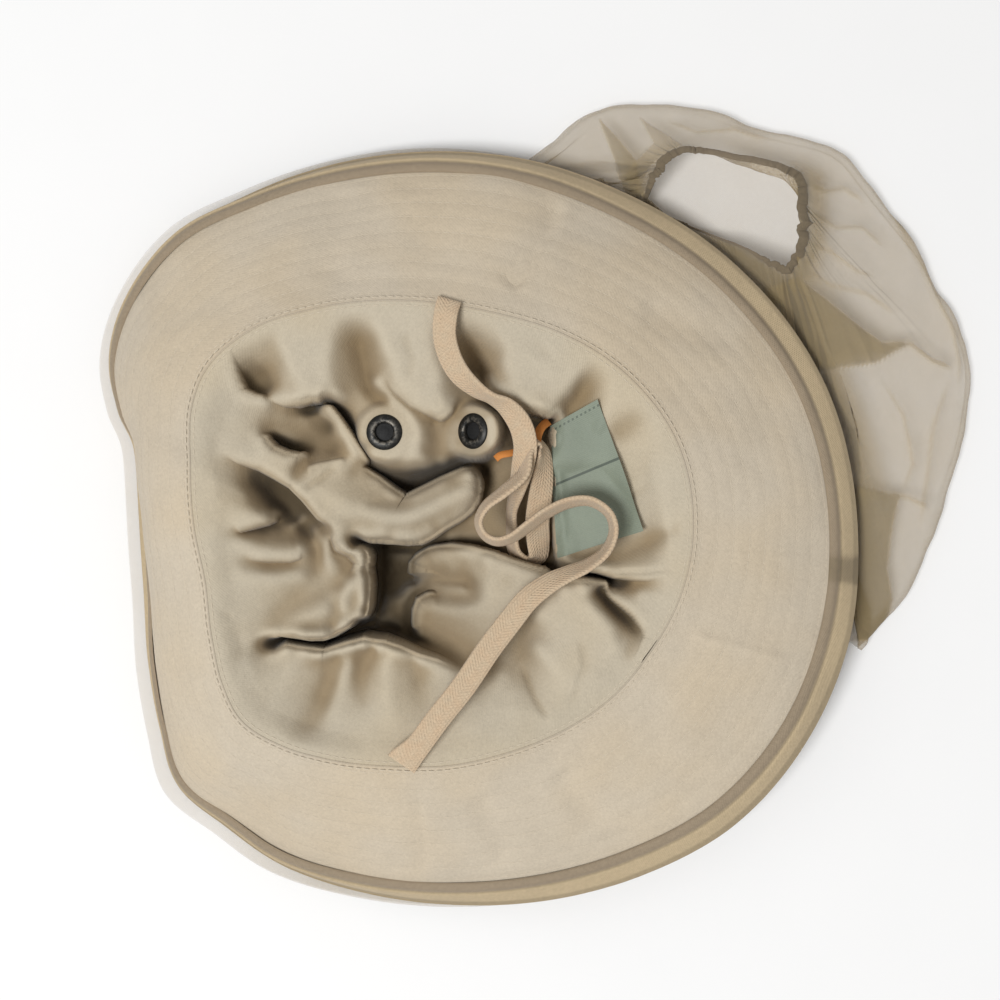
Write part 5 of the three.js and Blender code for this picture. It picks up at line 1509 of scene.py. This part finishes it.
@lru_cache
def net_places(ruffle):
    """The net's smooth surface with its gathers, and how far along its rows each ring lies."""
    rim = rim_round(NET_AROUND)
    share = np.arange(NET_AROUND) / NET_AROUND
    rings = net_rings(rim)
    row = np.concatenate([np.linspace(0, 3, 26), np.linspace(3, 7, 24)[1:], np.linspace(7, 9, 22)[1:],
                          np.linspace(9, 13, 90)[1:]])
    places = along_rows(rings, row)
    draw_net_corners(places)
    neck_x, neck_y, wide, dark = neck_at(rim["turn"])
    drawn = (np.clip((row - 9.3) / 3.7, 0, 1) ** 1.5)[:, None]
    places[..., 0] = mix(places[..., 0], neck_x, drawn)
    places[..., 1] = mix(places[..., 1], neck_y, drawn)
    past = row > NET_OVER
    places[past, :, 2] = np.minimum(places[past, :, 2], lid_at(places[past]))
    places[..., 2] = np.maximum(0.35, places[..., 2])
    normal = grid_normals(places, True)
    gather = smooth((row - 9) / 4)[:, None] ** 1.6
    girth = share * NET_GIRTH
    long_ = row[:, None] * 9
    x, y = places[..., 0], places[..., 1]
    ridges = 1 - 2 * np.abs(waves(girth / 13, long_ / 26, 1, 31))
    small = 1 - 2 * np.abs(waves(girth / 6, long_ / 14, 1, 32))
    crumple = 1.6 * waves(x, y, 26, 33) + 0.9 * waves(x, y, 12, 34) + 0.4 * waves(x, y, 6, 35)
    soft = smooth((row - 7.4) / 1.5)[:, None] * (1 - 0.7 * gather)
    ruffle = ruffle * np.clip(dark, 0.06, 1) * np.clip(wide / 4, 0.2, 1)
    rise = gather * (ridges + 0.6 * small) + 0.3 * smooth((row - 9) / 2)[:, None] * (1 - gather) * ridges
    rise = ruffle * rise
    over = smooth((row - 7.2) / 0.6)[:, None]
    for _, soft_edge, corners in NET_PLEATS.values():
        if soft_edge <= 2:
            rise = rise + 0.5 * over * smooth(depth_inside(corners, x, y) / soft_edge + 0.5)
    for high, half, _, path in NET_CREASES:
        rise = rise + high * over * crease_at(path, x, y, half, half, 5)
    places = places + normal * (rise + soft * crumple)[..., None]
    x, y = places[..., 0], places[..., 1]
    doubled = np.zeros_like(rise)
    for extra, soft_edge, corners in NET_PLEATS.values():
        doubled += extra * over * smooth(depth_inside(corners, x, y) / soft_edge + 0.5)
    for _, _, extra, path in NET_CREASES:
        doubled += extra * over * crease_at(path, x, y, NET_CREASE_MARK, NET_CREASE_MARK, 5)
    return places, row, doubled


class NetOperator(bpy.types.Operator):
    """Drapes the see-through net and the pleats that lie on it"""

    bl_idname = "sun_hat.net"
    bl_label = "Net"

    def execute(self, context):
        settings = context.scene.sun_hat.net
        places, row, doubled = net_places(settings.ruffle / MM)
        normal = grid_normals(places, True)
        steep = 1 / np.maximum(0.45, np.abs(normal[..., 2]))
        gather = smooth((row - 11) / 2)[:, None]
        hung = 1 - smooth((row - 2.6) / 0.8)[:, None]
        left = smooth(-np.cos(rim_round(NET_AROUND)["turn"]) * 2.5 - 0.6)
        left = left * (1 - smooth((row - 4) / 2))[:, None]
        layers = mix(steep * (1 + 0.8 * gather), 0.8, hung) * (1 - 0.5 * left) + 2.6 * doubled
        u = np.linspace(0, ROUND["net"], NET_AROUND + 1)[None]
        v = (row * 0.03)[:, None]
        net = grid_piece("net_veil", places, closed=True, uv=(u, v), marks={"layers": layers})
        material = veil("Net Veil", settings.colour, settings.cover)
        dress(net, material, "net", "net_skirt", "net_lower", "net_upper")
        return {"FINISHED"}


class NeckElasticOperator(bpy.types.Operator):
    """Ruffles the casing round the net's elastic neck"""

    bl_idname = "sun_hat.neck_elastic"
    bl_label = "Neck elastic"

    def execute(self, context):
        settings = context.scene.sun_hat.net
        places, _, _ = net_places(settings.ruffle / MM)
        ring = places[-1]
        run = np.roll(ring, -6, 0) - np.roll(ring, 6, 0)
        aside = np.stack([-run[:, 1], run[:, 0], -0.3 * np.hypot(run[:, 0], run[:, 1])], 1)
        aside /= np.linalg.norm(aside, axis=1, keepdims=True)
        share = np.arange(NET_AROUND) / NET_AROUND
        _, _, wide, dark = neck_at(rim_round(NET_AROUND)["turn"])
        pinch = (0.7 + 0.5 * waves(share * NET_GIRTH / 6, 0 * share, 1, 36)) * (0.3 + 0.15 * wide)
        turns = np.linspace(0, 2 * np.pi, 15)[:, None]
        on = wide * (0.5 + 0.5 * np.cos(turns)) - 0.1
        loops = ring + aside * on[..., None] + np.array([0, 0, 1]) * (np.sin(turns) * pinch + 0.5)[..., None]
        u = np.linspace(0, ROUND["neck"], NET_AROUND + 1)[None]
        v = np.linspace(0, 0.011, 15)[:, None]
        marks = {"lap": dark * np.ones_like(turns)}
        casing = grid_piece("neck_casing", loops, closed=True, uv=(u, v), marks=marks)
        material = hem_finish("Neck Casing", [c * 0.72 for c in settings.hem_colour])
        dress(casing, material, "hem_net", "neck_elastic")
        return {"FINISHED"}


def turned(name, profile, eyelet):
    """A round piece from a profile of reach and height, set in its eyelet's place."""
    _, x, y, up, lean = eyelet
    profile = along_rows(profile, np.linspace(0, len(profile) - 1, 6 * len(profile)))
    turns = np.arange(72) / 72 * 2 * np.pi
    places = np.stack(np.broadcast_arrays(
        profile[:, :1] * np.cos(turns), profile[:, :1] * np.sin(turns), profile[:, 1:]), -1)
    tilt = np.array(Matrix.Rotation(math.radians(-lean), 3, "Y"))
    uv_places = np.concatenate([places, places[:, :1]], 1) * MM
    lip = {"lip": np.exp(-(((profile[:, :1] - 5.6) / 1.3) ** 2)) * np.ones((1, 72))}
    return grid_piece(name, places[::-1] @ tilt.T + (x, y, up), closed=True,
                      uv=(uv_places[::-1, :, 0], uv_places[::-1, :, 1]), marks=lip)


class EyeletsOperator(bpy.types.Operator):
    """Presses the two blackened eyelets with their screens"""

    bl_idname = "sun_hat.eyelets"
    bl_label = "Eyelets"

    def execute(self, context):
        colour = context.scene.sun_hat.trim.metal_colour
        metal = blackened("Blackened Brass", colour)
        wire = screen("Vent Screen", colour)
        for eyelet in EYELETS:
            side = eyelet[0]
            ring = turned("eyelet_ring_" + side, RING_PROFILE, eyelet)
            dress(ring, metal, "dark_metal", "eyelet_" + side)
            disc = turned("vent_wire_" + side, VENT_PROFILE, eyelet)
            dress(disc, wire, "dark_metal", "vent_screen_" + side)
        return {"FINISHED"}


class LabelOperator(bpy.types.Operator):
    """Drapes the bare label over the crown's wall"""

    bl_idname = "sun_hat.label"
    bl_label = "Label"

    def execute(self, context):
        settings = context.scene.sun_hat.trim
        rows, cols = 60, 30
        along = np.linspace(0, 1, rows + 1)[:, None]
        across = np.linspace(0, 1, cols + 1)[None]
        corners = np.array(LABEL_CORNERS, float)
        left = corners[0] + (corners[3] - corners[0]) * along[..., None]
        right = corners[1] + (corners[2] - corners[1]) * along[..., None]
        plan = left + (right - left) * across[..., None]
        bow = np.sin(np.pi * along) * 0.8 * (across - 0.5)
        x, y = plan[..., 0] + bow, plan[..., 1] + 0.3 * bow
        up = np.maximum(crown_seat(x, y) + LABEL_CLEAR, sampled(stretched_map(), x, y) + 1.1)
        up = up + 0.35 * waves(x, y, 11, 41) + 0.15 * waves(x, y, 5, 42)
        places = np.stack([x, y, up], -1)
        sheet = grid_piece("label_satin", places, uv=(along * 0.052, across * 0.03))
        dress(sheet, satin("Bare Label", settings.label_colour), "label", "label")
        return {"FINISHED"}


class TabOperator(bpy.types.Operator):
    """Adds the little orange tab sewn in beside the label"""

    bl_idname = "sun_hat.tab"
    bl_label = "Tab"

    def execute(self, context):
        settings = context.scene.sun_hat.trim
        material = felt_tab("Orange Tab", settings.tab_colour)
        for name, wide, route in TABS:
            rows = along_rows(route, np.linspace(0, len(route) - 1, 40))
            run = np.gradient(rows[:, :2], axis=0)
            run /= np.linalg.norm(run, axis=1, keepdims=True)
            aside = np.stack([-run[:, 1], run[:, 0], 0.5 + 0 * run[:, 0]], 1)
            on = np.array([-1, -0.9, 0, 0.9, 1, 0.9, 0, -0.9]) * wide / 2
            off = np.array([0, 0.3, 0.4, 0.3, 0, -0.3, -0.4, -0.3])
            swell = off * shut_ends(len(rows))
            places = rows[:, None] + aside[:, None] * on[None, :, None]
            places[..., 2] += swell
            gone = np.linspace(0, 0.02, len(rows))[:, None]
            tab = grid_piece(name, places, closed=True, uv=(gone, np.append(on, on[0])[None] * MM))
            dress(tab, material, "label")
        return {"FINISHED"}


OPERATORS = (StageOperator, ChinTapeOperator, CrownOperator, BrimOperator, SeamOperator, HemBandOperator,
             NetOperator, NeckElasticOperator, EyeletsOperator, LabelOperator, TabOperator)


class SunHatPanel(bpy.types.Panel):
    """Lists the hat's pieces and what can be changed on them."""

    bl_idname = "SUNHAT_PT_pieces"
    bl_label = "Sun Hat"
    bl_space_type = "VIEW_3D"
    bl_region_type = "UI"
    bl_category = "Sun Hat"

    def draw(self, context):
        settings = context.scene.sun_hat
        for group in (settings.cloth, settings.net, settings.trim, settings.stage):
            box = self.layout.box()
            for name in group.__annotations__:
                box.prop(group, name)
        for operator in OPERATORS:
            self.layout.operator(operator.bl_idname)


CLASSES = (SunHatCloth, SunHatNet, SunHatTrim, SunHatStage, SunHatSettings, *OPERATORS, SunHatPanel)


def register():
    for made in CLASSES:
        bpy.utils.register_class(made)
    bpy.types.Scene.sun_hat = PointerProperty(type=SunHatSettings)


def unregister():
    del bpy.types.Scene.sun_hat
    for made in reversed(CLASSES):
        bpy.utils.unregister_class(made)


def main():
    register()
    for operator in OPERATORS:
        area, name = operator.bl_idname.split(".")
        getattr(getattr(bpy.ops, area), name)()


if __name__ == "__main__":
    main()
